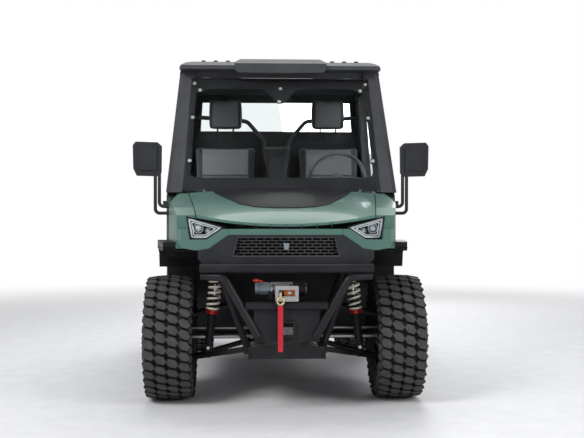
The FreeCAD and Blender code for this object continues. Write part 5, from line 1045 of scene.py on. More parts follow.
def motor_and_drum(bm):
    """The motor with its ribs, and the drum with its rope."""
    spot = WINCH_SPOT
    turned(bm, spot, WINCH_AXIS, MOTOR_CAP, 0, 40)
    for index in range(MOTOR_RIBS):
        turn = 2 * math.pi * index / MOTOR_RIBS
        rib = Vector((0, math.cos(turn), math.sin(turn))) * 0.0312
        tube(bm, [spot + rib + Vector((-0.136, 0, 0)), spot + rib + Vector((-0.096, 0, 0))], 0.0016, 0, 6)
    for section, sides in DRUM_PARTS:
        turned(bm, spot, WINCH_AXIS, section, 2, sides)
    layer = []
    for index in range(ROPE_TURNS * ROPE_STEPS + 1):
        angle = 2 * math.pi * index / ROPE_STEPS
        layer.append(spot + Vector((-0.066 + 0.086 * index / (ROPE_TURNS * ROPE_STEPS), math.cos(angle) * 0.0205,
                                    math.sin(angle) * 0.0205)))
    tube(bm, layer, 0.0036, 3, 7)


winch_bm = bmesh.new()
motor_and_drum(winch_bm)
print("motor and drum", len(winch_bm.faces), "faces")

# %% [markdown]
# The gear housing closes the other end. Tie bars join the two ends, and cast feet carry the winch on its plate. They
# are cut as plates across the machine, because a foot's outline is plain from the side.

# %% Winch housing and feet
GEAR_HOUSING = ((0.033, 0.030), (0.034, 0.0375), (0.050, 0.038), (0.052, 0.0362), (0.090, 0.0362), (0.092, 0.038),
                (0.099, 0.0375), (0.102, 0.032))
HOUSING_CAP = ((0.101, 0.016), (0.106, 0.015), (0.107, 0.010))
FOOT_LOW = 0.5715
FAIRLEAD_FRONT = -1.456


def side_plane(x, half):
    """Places a side-view outline at a distance from the middle plane; its thickness runs to the left."""
    return lambda u, v, depth: Vector((x - half + depth, u, v))


def housing_and_feet(bm):
    """Gear housing, tie bars, feet and the fairlead's brackets."""
    turned(bm, WINCH_SPOT, WINCH_AXIS, GEAR_HOUSING, 1, 40)
    turned(bm, WINCH_SPOT, WINCH_AXIS, HOUSING_CAP, 2, 24)
    for y, z in ((-0.028, 0.028), (0.028, 0.028), (0.028, -0.028)):
        tube(bm, [WINCH_SPOT + Vector((-0.080, y, z)), WINCH_SPOT + Vector((0.034, y, z))], 0.005, 2, 10)
    foot = [(WINCH_Y - 0.032, FOOT_LOW), (WINCH_Y + 0.032, FOOT_LOW), (WINCH_Y + 0.026, WINCH_Z),
            (WINCH_Y - 0.026, WINCH_Z)]
    for x in (-0.083, 0.045):
        plate(bm, rounded(foot, 0.008, 3), side_plane(x, 0.009), 0.018, 1)
    for x in (-0.056, 0.056):
        plate(bm, oblong(FAIRLEAD_FRONT + 0.012, WINCH_Y - 0.02, 0.579, 0.591), side_plane(x, 0.004), 0.008, 1)


housing_and_feet(winch_bm)
print("with housing and feet", len(winch_bm.faces), "faces")

# %% [markdown]
# The rope leaves through a bright fairlead with four rollers, and an orange disc shows through it. A red clutch
# lever stands over the motor. Rollers are turned bodies that only differ in length and direction, so one section
# serves for each pair.

# %% Fairlead, lever and the whole winch
FAIRLEAD_PARTS = (
    # start, axis, section, finish, sides: upright rollers, level rollers, orange disc and its hub
    ((-0.047, 0.016, 0.590), (0, 0, 1), ((0.0, 0.006), (0.002, 0.0075), (0.058, 0.0075), (0.060, 0.006)), 2, 20),
    ((0.047, 0.016, 0.590), (0, 0, 1), ((0.0, 0.006), (0.002, 0.0075), (0.058, 0.0075), (0.060, 0.006)), 2, 20),
    ((-0.040, 0.017, 0.598), (1, 0, 0), ((0.0, 0.005), (0.002, 0.0065), (0.078, 0.0065), (0.080, 0.005)), 2, 20),
    ((-0.040, 0.017, 0.642), (1, 0, 0), ((0.0, 0.005), (0.002, 0.0065), (0.078, 0.0065), (0.080, 0.005)), 2, 20),
    ((0.014, 0.030, 0.620), (0, 1, 0), ((0.0, 0.010), (0.0, 0.026), (0.004, 0.029), (0.006, 0.029),
                                        (0.006, 0.010)), 4, 36),
    ((0.014, 0.024, 0.620), (0, 1, 0), ((0.0, 0.006), (0.001, 0.0105), (0.010, 0.0105)), 2, 20),
)
LEVER_PATH = ((-0.120, -0.010, 0.024), (-0.128, -0.030, 0.040), (-0.150, -0.040, 0.044))
FAIRLEAD_BOLT, HOUSING_BOLT = 0.0045, 0.004
HOUSING_TURNS = (0.5, 2.1, 3.6, 5.2)


def fairlead_and_lever(bm):
    """The fairlead's plate and rollers, and the clutch lever."""
    band(bm, rounded(oblong(-0.060, 0.060, 0.577, 0.657), 0.008, 4),
         rounded(oblong(-0.046, 0.046, 0.603, 0.637), 0.006, 4), flat_plane(FAIRLEAD_FRONT), 0.010, 2)
    for (x, back, z), axis, section, slot, sides in FAIRLEAD_PARTS:
        turned(bm, (x, FAIRLEAD_FRONT + back, z), axis, section, slot, sides)
    tube(bm, [(x, WINCH_Y + y, WINCH_Z + z) for x, y, z in LEVER_PATH], 0.0045, 5, 10)
    turned(bm, (-0.146, WINCH_Y - 0.038, WINCH_Z + 0.0435), (-1, -0.2, 0.05),
           [(0.0, 0.006), (0.006, 0.0085), (0.024, 0.0075), (0.028, 0.005)], 5, 18)


fairlead_and_lever(winch_bm)
finished("winch_unit", winch_bm, "frame",
         ["winch_grey", "powder_coat", "machined", "winch_rope", "orange_disc", "signal_red"], ["winch"])
bolts("winch_bolts", "frame",
      [(Vector((x, FAIRLEAD_FRONT - 0.0005, z)), (0, -1, 0), FAIRLEAD_BOLT)
       for x in (-0.053, 0.053) for z in (0.584, 0.650)]
      + [(Vector((0.1025, WINCH_Y + math.cos(turn) * 0.025, WINCH_Z + math.sin(turn) * 0.025)), (1, 0, 0),
          HOUSING_BOLT) for turn in HOUSING_TURNS])

# %% [markdown]
# A strap of red webbing hangs from the hook's ring. It is woven, so its light breaks up in fine slanted lines. Real
# threads would be far too many, and a wave pattern across the band shows them in the bump alone.

# %% Webbing
WEAVE_SCALE = 220.0
WEAVE_BEND = 0.6


def webbing_finish():
    """Red webbing with its weave."""
    material = grained("strap_webbing", (0.50, 0.012, 0.030), (0.62, 0.025, 0.045), 0.75, 1800, 0.4, sheen=0.4)
    tree = material.node_tree
    weave = wire(tree, "ShaderNodeTexWave", {"Vector": own_place(tree), "Scale": WEAVE_SCALE,
                                             "Distortion": WEAVE_BEND}, "Fac", bands_direction="DIAGONAL")
    add_bump(tree, tree.nodes["Principled BSDF"], weave, 0.5, 0.0006)


webbing_finish()
grained("strap_thread", (0.62, 0.05, 0.06), (0.75, 0.09, 0.09), 0.7, 2000, 0.3)
print("webbing and thread ready")

# %% [markdown]
# The strap is one thin sheet, 27 mm wide, with thinner selvedges, a stitched eye at the ring and a narrowed end. A
# cloth simulation would let it flutter, but the photograph shows it hanging straight, so its rows are placed with a
# slight sway, and the stitches lie on it as short threads.

# %% Hook strap
STRAP_X = -0.034
STRAP_Y = -1.476
STRAP_TOP = 0.5567
STRAP_LOW = 0.3217
STRAP_HALF = 0.0135
STRAP_STEPS = 60
STRAP_SECTION = ((-1.0, -0.0010), (-0.88, -0.0014), (0.88, -0.0014), (1.0, -0.0010), (1.0, 0.0010),
                 (0.88, 0.0014), (-0.88, 0.0014), (-1.0, 0.0010))
STITCH_ROWS = 9


def strap_sheet():
    """The strap and its stitches."""
    bm = bmesh.new()
    rows = []
    for index in range(STRAP_STEPS + 1):
        z = STRAP_TOP + (STRAP_LOW - STRAP_TOP) * index / STRAP_STEPS
        share = index / STRAP_STEPS
        sway = 0.0012 * math.sin(share * 2.6)
        narrow = 1.0 - 0.10 * max(0.0, share - 0.85) / 0.15
        rows.append([bm.verts.new((STRAP_X + x * STRAP_HALF * narrow, STRAP_Y + y + sway * share, z))
                     for x, y in STRAP_SECTION])
    for low, high in zip(rows, rows[1:]):
        skirt(bm, low, high, 0, False)
    bm.faces.new(rows[0])
    bm.faces.new(rows[-1][::-1])
    item = finished("strap_sheet", bm, "frame", ["strap_webbing"], ["hook_strap"])
    stitches = bmesh.new()
    for x in (-0.0095, 0.0095):
        for index in range(STITCH_ROWS):
            z = STRAP_TOP - 0.012 - index * 0.0065
            tube(stitches, [(STRAP_X + x, STRAP_Y - 0.0013, z), (STRAP_X + x, STRAP_Y - 0.0017, z - 0.002),
                            (STRAP_X + x, STRAP_Y - 0.0013, z - 0.004)], 0.0005, 0, 5)
    seam = finished("strap_stitches", stitches, "frame", ["strap_thread"])


strap_sheet()

# %% [markdown]
# The seats are covered in vinyl with a fine leather grain, dark at the bolsters, with a lighter sewn panel in the
# middle. A panel could be a second piece, but sewn covers are one skin. The finish therefore reads the piece's own
# coordinates and is lighter where they lie inside the panel, with a narrow soft edge under the piping.

# %% Seat vinyl
VINYL_DARK = ((0.030, 0.031, 0.034), (0.044, 0.045, 0.049))
SEAT_PALE = (0.165, 0.170, 0.180)
HEADREST_PALE = (0.135, 0.139, 0.147)
SEAM_SOFT = 0.0015
CUSHION_X, CUSHION_Y = (0.212, 0.512), (-0.145, 0.190)
BACK_X, BACK_Z = (0.200, 0.524), (0.86, 1.505)
HEADREST_X, HEADREST_Z = (0.270, 0.454), (1.648, 1.832)


def vinyl_finish(name):
    """Dark grained seat vinyl; the grain is a fine cell pattern."""
    material = grained(name, *VINYL_DARK, 0.58, 900, 0.3, sheen=0.25)
    tree = material.node_tree
    grain = wire(tree, "ShaderNodeTexVoronoi", {"Vector": own_place(tree), "Scale": 420.0}, "Distance")
    add_bump(tree, tree.nodes["Principled BSDF"], grain, 0.35, 0.0008)
    return tree


def split_place(tree):
    """The piece's own coordinates one by one, with X as the distance from the middle plane."""
    apart = wire(tree, "ShaderNodeSeparateXYZ", {0: own_place(tree)}).node.outputs
    return {"X": maths(tree, "ABSOLUTE", apart["X"]), "Y": apart["Y"], "Z": apart["Z"]}


def between(tree, value, low, high):
    """One inside a range of a coordinate and zero outside, with a narrow soft edge."""
    ends = ((low - SEAM_SOFT, low + SEAM_SOFT), (high + SEAM_SOFT, high - SEAM_SOFT))
    parts = [wire(tree, "ShaderNodeMapRange", {"Value": value, "From Min": start, "From Max": end}, "Result")
             for start, end in ends]
    return maths(tree, "MULTIPLY", *parts)


def panelled_vinyl(name, light, **ranges):
    """Dark vinyl with a lighter sewn panel where the piece's own coordinates lie in every given range."""
    tree = vinyl_finish(name)
    place = split_place(tree)
    share, *others = [between(tree, place[axis], low, high) for axis, (low, high) in ranges.items()]
    for other in others:
        share = maths(tree, "MULTIPLY", share, other)
    overlaid(tree, tree.nodes["Principled BSDF"], share, light)


vinyl_finish("seat_dark")
panelled_vinyl("cushion_vinyl", SEAT_PALE, X=CUSHION_X, Y=CUSHION_Y, Z=(0.745, 0.900))
panelled_vinyl("back_vinyl", SEAT_PALE, X=BACK_X, Y=(0.10, 0.318), Z=BACK_Z)
panelled_vinyl("headrest_vinyl", HEADREST_PALE, X=HEADREST_X, Y=(0.20, 0.352), Z=HEADREST_Z)
print("four seat finishes")

# %% [markdown]
# A padded piece has full, rounded forms. It could be sculpted by hand. Here each one starts from its exact solid,
# drawn in a little on every side, gets round edges and an even fine mesh, and swells under pressure as cloth. It is
# capped afterwards, so that it stays near its solid.

# %% Padded pieces
PAD_VOXEL = 0.011
PAD_START = 0.012
PAD_CAP = 0.024
PAD_SLACK = 0.004
PAD_PRESSURE = 4.0
CLOTH_FRAMES = 20
RELAX_FACTOR, RELAX_ROUNDS = 0.5, 6
FLAT_ANGLE, SHARP_EDGE = math.radians(4), math.radians(25)


def shrunk_hull(spots, corner):
    """The convex closed form of an exact cushion, drawn in on every side, with round edges."""
    bm = bmesh.new()
    for spot in spots:
        bm.verts.new(spot)
    bmesh.ops.remove_doubles(bm, verts=bm.verts, dist=1e-5)
    made = bmesh.ops.convex_hull(bm, input=bm.verts)
    bmesh.ops.delete(bm, geom=[v for v in made["geom_interior"] if isinstance(v, bmesh.types.BMVert)], context="VERTS")
    low, high = corners_of([vert.co for vert in bm.verts])
    centre = (low + high) / 2
    for vert in bm.verts:
        for axis in range(3):
            half = (high[axis] - low[axis]) / 2
            vert.co[axis] = centre[axis] + (vert.co[axis] - centre[axis]) * (half - PAD_START) / half
    bmesh.ops.dissolve_limit(bm, angle_limit=FLAT_ANGLE, verts=bm.verts, edges=bm.edges)
    bmesh.ops.recalc_face_normals(bm, faces=bm.faces)
    sharp = [edge for edge in bm.edges if len(edge.link_faces) == 2 and edge.calc_face_angle() > SHARP_EDGE]
    bmesh.ops.bevel(bm, geom=sharp, offset=corner, segments=4, profile=0.5, affect="EDGES", clamp_overlap=True)
    return bm


def apply_all(item):
    """Makes an object's modifiers part of its mesh."""
    bpy.context.view_layer.objects.active = item
    for modifier in list(item.modifiers):
        bpy.ops.object.modifier_apply(modifier=modifier.name)


def swollen(item, low, high):
    """Cloth under pressure, whose points stay inside the exact part's own reach."""
    remesh = item.modifiers.new("fine", "REMESH")
    remesh.mode = "VOXEL"
    remesh.voxel_size = PAD_VOXEL
    relax = item.modifiers.new("relax", "SMOOTH")
    relax.factor = RELAX_FACTOR
    relax.iterations = RELAX_ROUNDS
    apply_all(item)
    start = [vert.co.copy() for vert in item.data.vertices]
    cloth = item.modifiers.new("cloth", "CLOTH")
    cloth.settings.use_pressure = True
    cloth.settings.uniform_pressure_force = PAD_PRESSURE
    cloth.settings.effector_weights.gravity = 0
    cloth.settings.quality = 4
    scene = bpy.context.scene
    for step in range(1, CLOTH_FRAMES + 1):
        scene.frame_set(step)
    apply_all(item)
    for vert, was in zip(item.data.vertices, start):
        move = vert.co - was
        if move.length > PAD_CAP:
            vert.co = was + move.normalized() * PAD_CAP
        for axis in range(3):
            vert.co[axis] = min(max(vert.co[axis], low[axis] - PAD_SLACK), high[axis] + PAD_SLACK)
    scene.frame_set(1)


def padded(name, box, finish, corner, replaced):
    """One padded piece of the seats."""
    low, high, spots = box
    item = finished(name, shrunk_hull(spots, corner), "frame", [finish])
    for face in item.data.polygons:
        face.use_smooth = True
    swollen(item, low, high)
    smooth = item.modifiers.new("smooth", "SUBSURF")
    smooth.levels = 1
    smooth.render_levels = 1
    apply_all(item)
    for face in item.data.polygons:
        face.use_smooth = True
    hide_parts(replaced)
    print(name, len(item.data.polygons), "faces when padded")
    return item


print("a pad swells by at most", 1000 * PAD_CAP, "mm")

# %% [markdown]
# Piping is the thin bead sewn along the edge of each panel. On a swollen surface nobody can give its place in
# numbers, so it is found by looking straight at the pad along the panel's outline, and a small tube is laid through
# the points that were met. The same look later finds where bolts and dials sit.

# %% Looks at a surface
LOOK_REACH = 2.0
LOOK_START = 0.5
PIPING_RADIUS = 0.0026
PIPING_STEP = 0.012


def skin_of(mesh):
    """A mesh's surface as a tree which answers where a straight look first meets it."""
    return BVHTree.FromPolygons([vert.co.copy() for vert in mesh.vertices],
                                [tuple(face.vertices) for face in mesh.polygons])


def landing(skin, start, way):
    """The first place on a surface seen from a point, with the outward direction there."""
    spot, outward, _, _ = skin.ray_cast(Vector(start), Vector(way), LOOK_REACH)
    if spot is not None and outward.dot(Vector(way)) > 0:
        outward = -outward
    return spot, outward


def along_outline(outline, place):
    """Even steps along an outline, each put in its place."""
    path = []
    for one, other in zip(outline, outline[1:] + outline[:1]):
        one, other = Vector(one), Vector(other)
        count = max(1, round((other - one).length / PIPING_STEP))
        for index in range(count):
            spot = one.lerp(other, index / count)
            path.append(Vector(place(spot.x, spot.y)))
    return path


def piping(bm, item, path, away):
    """A closed bead laid on a pad along a path, looked at against the way it faces."""
    skin, away = skin_of(item.data), Vector(away)
    met = [landing(skin, point + away * LOOK_START, -away)[0] for point in path]
    found = [spot + away * PIPING_RADIUS * 0.25 for spot in met if spot is not None]
    if len(found) > 8:
        tube(bm, found, PIPING_RADIUS, 0, 6, True)


print("piping is", 2000 * PIPING_RADIUS, "mm thick")

# %% [markdown]
# The backs carry a light panel between dark bolsters, the cushions a light middle, and the headrests a light face
# on two posts. Each pad follows its own exact solid, from the right seat to the left one, and the piping of all of
# them is one object.

# %% Seats
SEAT_MIDDLE = 0.362
CENTRE_X = (-0.07, 0.07)
HEADREST_LOW = 1.62
POST_SHIFT = 0.055
POST_FOOT = (0.350, 1.5403)
POST_SECTION = ((0.0, 0.011), (0.004, 0.012), (0.008, 0.0062), (0.098, 0.0062))


def place_of(low, high):
    """Whether a pad is one of the outer ones, and on which side it lies."""
    middle = low.x + high.x
    return abs(middle) > 0.2, 1 if middle > 0 else -1


def panel_of(side, across, up):
    """A panel's outline on one side of the cab."""
    return oblong(side * across[0], side * across[1], *up)


seam_bm = bmesh.new()
for index, box in enumerate(islands("seat_cushions")):
    outer, side = place_of(*box[:2])
    pad = padded("cushion_%d" % index, box, "cushion_vinyl" if outer else "seat_dark", 0.030, "seat_cushions")
    panel = panel_of(side, CUSHION_X if outer else CENTRE_X, CUSHION_Y)
    piping(seam_bm, pad, along_outline(panel, lambda u, v: (u, v, 0.7)), (0, 0, 1))
for index, box in enumerate(islands("seat_backs")):
    outer, side = place_of(*box[:2])
    pad = padded("back_%d" % index, box, "back_vinyl" if outer else "seat_dark", 0.042, "seat_backs")
    for up in ((BACK_Z[0], 1.300), (1.306, BACK_Z[1])):
        panel = panel_of(side, BACK_X if outer else CENTRE_X, up)
        piping(seam_bm, pad, along_outline(panel, lambda u, v: (u, 0.3, v)), (0, -1, 0))
for index, (_, _, spots) in enumerate(islands("headrests")):
    spots = [spot for spot in spots if spot.z > HEADREST_LOW - 0.001]
    low, high = corners_of(spots)
    _, side = place_of(low, high)
    pad = padded("headrest_%d" % index, (low, high, spots), "headrest_vinyl", 0.045, "headrests")
    panel = panel_of(side, HEADREST_X, HEADREST_Z)
    piping(seam_bm, pad, along_outline(panel, lambda u, v: (u, 0.3, v)), (0, -1, 0))
    for shift in (-POST_SHIFT, POST_SHIFT):
        turned(seam_bm, (side * SEAT_MIDDLE + shift, *POST_FOOT), (0, 0, 1), POST_SECTION, 1, 18)
finished("seat_piping", seam_bm, "frame", ["seat_dark", "powder_coat"])

# %% [markdown]
# The grille is a field of bricks: each row of slots is half a step over from the row below, with thin bars between.
# Cutting every slot out of a plate would be slow. The group makes one brick frame from two nested outlines and sets
# it on every step of the field.

# %% Grille as nodes
GRILLE_INPUTS = (
    ("Columns", "Int", 15),
    ("Rows", "Int", 7),
    ("Pitch", "Float", 0.042),
    ("Rise", "Float", 0.016),
    ("Bar", "Float", 0.0042),
    ("Depth", "Float", 0.014),
    ("Finish", "Material", None),
)
SLOT_CORNER = 0.0028


def brick_group():
    """One brick frame on every step of a field whose odd rows are shifted by half a step."""
    tree, given = group_with("brick_grille", GRILLE_INPUTS)
    pitch, rise, bar, columns = (given[label] for label in ("Pitch", "Rise", "Bar", "Columns"))
    outer = wire(tree, "GeometryNodeCurvePrimitiveQuadrilateral", {"Width": pitch, "Height": rise})
    inner = wire(tree, "GeometryNodeCurvePrimitiveQuadrilateral",
                 {"Width": maths(tree, "SUBTRACT", pitch, bar), "Height": maths(tree, "SUBTRACT", rise, bar)})
    soft = wire(tree, "GeometryNodeFilletCurve", {"Curve": inner, "Count": 3, "Radius": SLOT_CORNER}, mode="POLY")
    face = wire(tree, "GeometryNodeFillCurve", {"Curve": joined(tree, outer, soft)})
    brick = extruded(tree, face, given["Depth"])["Mesh"]
    number = wire(tree, "GeometryNodeInputIndex")
    row = maths(tree, "FLOOR", maths(tree, "DIVIDE", number, columns))
    column = maths(tree, "MODULO", number, columns)
    middle = maths(tree, "MULTIPLY", maths(tree, "SUBTRACT", columns, 1.0), 0.5)
    shift = maths(tree, "MULTIPLY", maths(tree, "MODULO", row, 2.0), 0.5)
    along = maths(tree, "ADD", maths(tree, "SUBTRACT", column, middle), shift)
    spot = wire(tree, "ShaderNodeCombineXYZ", {"X": maths(tree, "MULTIPLY", along, pitch),
                                               "Y": maths(tree, "MULTIPLY", row, rise)})
    count = maths(tree, "MULTIPLY", columns, given["Rows"])
    points = wire(tree, "GeometryNodePoints", {"Count": count, "Position": spot})
    field = wire(tree, "GeometryNodeInstanceOnPoints", {"Points": points, "Instance": brick})
    return close_group(tree, made_real(tree, field), given["Finish"])


BRICKS = brick_group()

# %% [markdown]
# The field sits in a plain frame in the nose, before a near-black back sheet that is painted shade of the inside of
# the nose, with a small blank plate in its middle. The frame is a flat ring between two outlines, because its corners
# then follow the nose exactly.

# %% Grille
grained("grille_bar", (0.030, 0.031, 0.034), (0.042, 0.043, 0.047), 0.3, 1300, 0.1, coat=0.3)
# A near-black finish for the sheet behind the slots: painted shade of the inside of the nose.
grained("nose_shade_black", (0.003, 0.003, 0.003), (0.006, 0.006, 0.006), 0.8, 900, 0.1)
GRILLE_OUTLINE = [(-0.284, 0.802), (0.284, 0.802), (0.257, 0.908), (-0.257, 0.908)]
BLANK_PLATE = [(-0.012, 0.840), (0.012, 0.840), (0.015, 0.874), (-0.015, 0.874)]
GRILLE_FRONT = -1.377
FIELD_PLACE = (-0.0105, GRILLE_FRONT + 0.0152, 0.815)


def grille_unit():
    """The grille's frame, the painted-shade sheet behind it and the plate, and the field of bricks."""
    bm = bmesh.new()
    band(bm, GRILLE_OUTLINE, inset(GRILLE_OUTLINE, 0.008), flat_plane(GRILLE_FRONT), 0.018, 0)
    # The sheet behind the slots is painted shade.
    plate(bm, inset(GRILLE_OUTLINE, 0.004), flat_plane(GRILLE_FRONT + 0.0165), 0.0015, 1)
    plate(bm, rounded(BLANK_PLATE, 0.005), flat_plane(GRILLE_FRONT - 0.001), 0.010, 2, 0.002)
    finished("grille_frame", bm, "frame", ["grille_bar", "nose_shade_black", "winch_grey"], ["grille"])
    field = bpy.data.objects.new("grille_field", bpy.data.meshes.new("grille_field"))
    bpy.context.scene.collection.objects.link(field)
    grown(field, BRICKS, {"Columns": 12, "Rows": 6, "Finish": FINISHES["grille_bar"]})
    field.data.transform(Matrix.Translation(FIELD_PLACE) @ Matrix.Rotation(math.radians(90), 4, "X"))
    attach(field, "frame")
    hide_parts("grille")
    print("grille_field", len(field.data.polygons), "faces")


grille_unit()

# %% [markdown]
# The doors are green outside and dark inside and round their windows. Two parts would leave a seam that the real
# door hides. The finish reads its own Object coordinates instead: green where the skin lies far out and below the
# belt, dark elsewhere.

# %% Door paint
DOOR_GREEN = (0.066, 0.151, 0.122)
DOOR_DARK = (0.020, 0.021, 0.024)
SKIN_OUTSIDE = 0.668
BELT_HEIGHT = 1.128


def door_paint():
    """Green paint outside and below the belt, the dark finish elsewhere."""
    material, tree, shader = new_finish("door_paint", DOOR_GREEN, 0.3, coat=0.5)
    place = split_place(tree)
    green = maths(tree, "MULTIPLY", maths(tree, "GREATER_THAN", place["X"], SKIN_OUTSIDE),
                  maths(tree, "LESS_THAN", place["Z"], BELT_HEIGHT))
    tree.links.new(blended(tree, green, DOOR_DARK, DOOR_GREEN), shader.inputs["Base Color"])
    fine = object_noise(tree, 900, 2.0)
    tree.links.new(spread(tree, fine, 0.26, 0.38), shader.inputs["Roughness"])
    add_bump(tree, shader, fine, 0.03)
    return material


FINISHES["door_paint"] = door_paint()
for name in ("door_left", "door_right"):
    NODES[name].data.materials[0] = FINISHES["door_paint"]
print("doors painted")

# %% [markdown]
# The rims carry wheel nuts and a dark centre cap. They could be modelled with the rim, but nuts are separate metal.
# The bolts of the cab are used again, in a ring on each hub's outer face, which is measured on the exact rim.

# %% Wheel nuts and caps
grained("cap_black", (0.010, 0.010, 0.011), (0.018, 0.018, 0.019), 0.3, 900, 0.05, coat=0.4)
NUTS = 4
NUT_RING = 0.055
NUT_RADIUS = 0.0105
NUT_HEAD = 1.1
HUB_REACH = 0.075
CAP_SECTION = ((-0.002, 0.036), (0.003, 0.0355), (0.009, 0.031), (0.011, 0.026), (0.0115, 0.010))


def face_of_rim(name, side):
    """The middle of a rim, and the place along X of its outermost surface near the middle."""
    low, high = box_of(name)
    centre = (low + high) / 2
    spots = [vert.co for vert in NODES[name].data.vertices
             if (vert.co.y - centre.y) ** 2 + (vert.co.z - centre.z) ** 2 < HUB_REACH ** 2]
    return centre, side * max(side * spot.x for spot in spots)


for corner in ("front_left", "front_right", "rear_left", "rear_right"):
    side = 1 if "left" in corner else -1
    centre, face = face_of_rim("rim_" + corner, side)
    ring = []
    for index in range(NUTS):
        turn = 2 * math.pi * (index + 0.5) / NUTS
        ring.append((Vector((face, centre.y + math.cos(turn) * NUT_RING, centre.z + math.sin(turn) * NUT_RING)),
                     (side, 0, 0), NUT_RADIUS))
    bolts("rim_%s_nuts" % corner, "wheel_" + corner, ring, "machined", NUT_HEAD)
    cap_bm = bmesh.new()
    turned(cap_bm, (face, centre.y, centre.z), (side, 0, 0), CAP_SECTION, 0, 32)
    finished("rim_%s_cap" % corner, cap_bm, "wheel_" + corner, ["cap_black"])

# %% [markdown]
# The steering wheel has a padded rim with swells for the fingers at its sides, three flat spokes and a soft hub cap.
# A plain torus has no swells, so the rim is built ring by ring. The wheel is made lying flat, where its measures are
# simple, and then tilted onto its column.

# %% Steering wheel
grained("wheel_grip", (0.105, 0.108, 0.114), (0.145, 0.148, 0.156), 0.55, 1600, 0.3)
grained("spoke_satin", (0.20, 0.21, 0.22), (0.27, 0.28, 0.29), 0.35, 1200, 0.1, metallic=0.5)
WHEEL_CENTRE = Vector((0.370, -0.232, 1.262))
WHEEL_TILT = math.radians(28)
WHEEL_RADIUS = 0.178
WHEEL_STEPS, GRIP_SIDES = 96, 12
GRIP_RADIUS, GRIP_SWELL, SWELL_WIDTH = 0.0118, 0.0018, 14
SPOKE_TURNS = (0, 90, 180)
SPOKE_OUTLINE = [(0.030, -0.022), (0.150, -0.012), (0.172, -0.014), (0.172, 0.014), (0.150, 0.012), (0.030, 0.022)]
HUB_SECTION = ((0.0, 0.030), (0.010, 0.043), (0.038, 0.0435), (0.046, 0.040), (0.050, 0.030), (0.0515, 0.012))
HUB_DISC = ((0.0, 0.022), (0.0012, 0.021), (0.0016, 0.015))


def wheel_rim(bm):
    """The padded rim, thicker where the fingers hold it."""
    rings = []
    for index in range(WHEEL_STEPS):
        turn = 2 * math.pi * index / WHEEL_STEPS
        swell = GRIP_RADIUS + GRIP_SWELL * math.exp(-((math.degrees(turn) % 180 - 20) / SWELL_WIDTH) ** 2)
        swell += GRIP_SWELL * math.exp(-((math.degrees(turn) % 180 - 160) / SWELL_WIDTH) ** 2)
        out = Vector((math.cos(turn), math.sin(turn), 0))
        ring = []
        for step in range(GRIP_SIDES):
            angle = 2 * math.pi * step / GRIP_SIDES
            up = Vector((0, 0, swell * math.sin(angle)))
            ring.append(bm.verts.new(out * (WHEEL_RADIUS + swell * math.cos(angle)) + up))
        rings.append(ring)
    for one, other in zip(rings, rings[1:] + rings[:1]):
        skirt(bm, one, other)


def wheel_spoke(bm, turn):
    """A flat spoke at a turn in degrees."""
    way = Vector((math.cos(math.radians(turn)), math.sin(math.radians(turn)), 0))
    across = Vector((-way.y, way.x, 0))
    plate(bm, rounded(SPOKE_OUTLINE, 0.008, 3),
          lambda u, v, depth: way * u + across * v + Vector((0, 0, -0.012 - depth)), 0.009, 1, 0.002)


wheel_bm = bmesh.new()
wheel_rim(wheel_bm)
for turn in SPOKE_TURNS:
    wheel_spoke(wheel_bm, turn)
turned(wheel_bm, (0, 0, -0.050), (0, 0, 1), HUB_SECTION, 0, 36)
turned(wheel_bm, (0, 0, 0.0008), (0, 0, 1), HUB_DISC, 1, 32)
wheel_place = Matrix.Translation(WHEEL_CENTRE) @ Matrix.Rotation(math.radians(-90) + WHEEL_TILT, 4, "X")
bmesh.ops.transform(wheel_bm, matrix=wheel_place, verts=wheel_bm.verts)
finished("steering_wheel_grip", wheel_bm, "steering_wheel", ["wheel_grip", "spoke_satin"],
         ["steering_wheel"])

# %% [markdown]
# Some small parts stand out in the light: the dividers in the slot between the lamps, the silvered glass of the
# mirrors, and the ribbed rubber boots on the half shafts. Each is one plate or one turned section, repeated from side
# to side, so no group is needed.

# %% Slot dividers, mirror glass and boots
grained("mirror_glass", (0.82, 0.84, 0.86), (0.88, 0.90, 0.92), 0.03, 40, 0.005, metallic=1.0)
SLOT_STEP = 0.080
MIRROR_OUTLINE = [(0.732, 1.278), (0.858, 1.278), (0.870, 1.306), (0.870, 1.442), (0.732, 1.442)]
MIRROR_SUNK = 0.0058
BOOT_FOLDS = 4


def slot_dividers():
    """Seven thin uprights in the slot, which rises towards its ends."""
    bm = bmesh.new()
    for index in range(-3, 4):
        x = index * SLOT_STEP
        z = 0.957 + 0.17 * x * x
        plate(bm, oblong(x - 0.002, x + 0.002, z - 0.008, z + 0.012), flat_plane(-1.366), 0.012, 0)
    finished("slot_dividers", bm, "frame", ["grille_bar"])


def mirror_faces():
    """The glass of both mirrors, set into the rear of their shells."""
    bm = bmesh.new()
    back = box_of("mirrors")[1].y - MIRROR_SUNK
    for side in (-1, 1):
        plate(bm, rounded(MIRROR_OUTLINE, 0.012, 4),
              lambda u, v, depth, side=side: Vector((side * u, back - depth, v)), 0.002, 0, 0.0005)
    finished("mirror_faces", bm, "frame", ["mirror_glass"])


def shaft_boots():
    """A folded boot at the inner end of every half shaft."""
    bm = bmesh.new()
    section = [(0.0, 0.030)]
    for index in range(BOOT_FOLDS):
        start = 0.006 + index * 0.016
        size = 0.036 - index * 0.0042
        section += [(start, size), (start + 0.008, size - 0.006)]
    section.append((0.074, 0.017))
    for y in (-0.986, 0.974):
        for side in (-1, 1):
            turned(bm, (side * 0.0955, y, 0.343), (side, 0, 0), section)
    finished("shaft_boots", bm, "frame", ["soft_black"])


slot_dividers()
mirror_faces()
shaft_boots()

# %% [markdown]
# Bolts hold the cover under the nose and the flares over the wheels. Their places could be copied from the exact
# part by hand. A straight look from outside finds them instead, so that each bolt sits on the surface and stands
# square to it, and a look that meets no fitting surface gives no bolt.

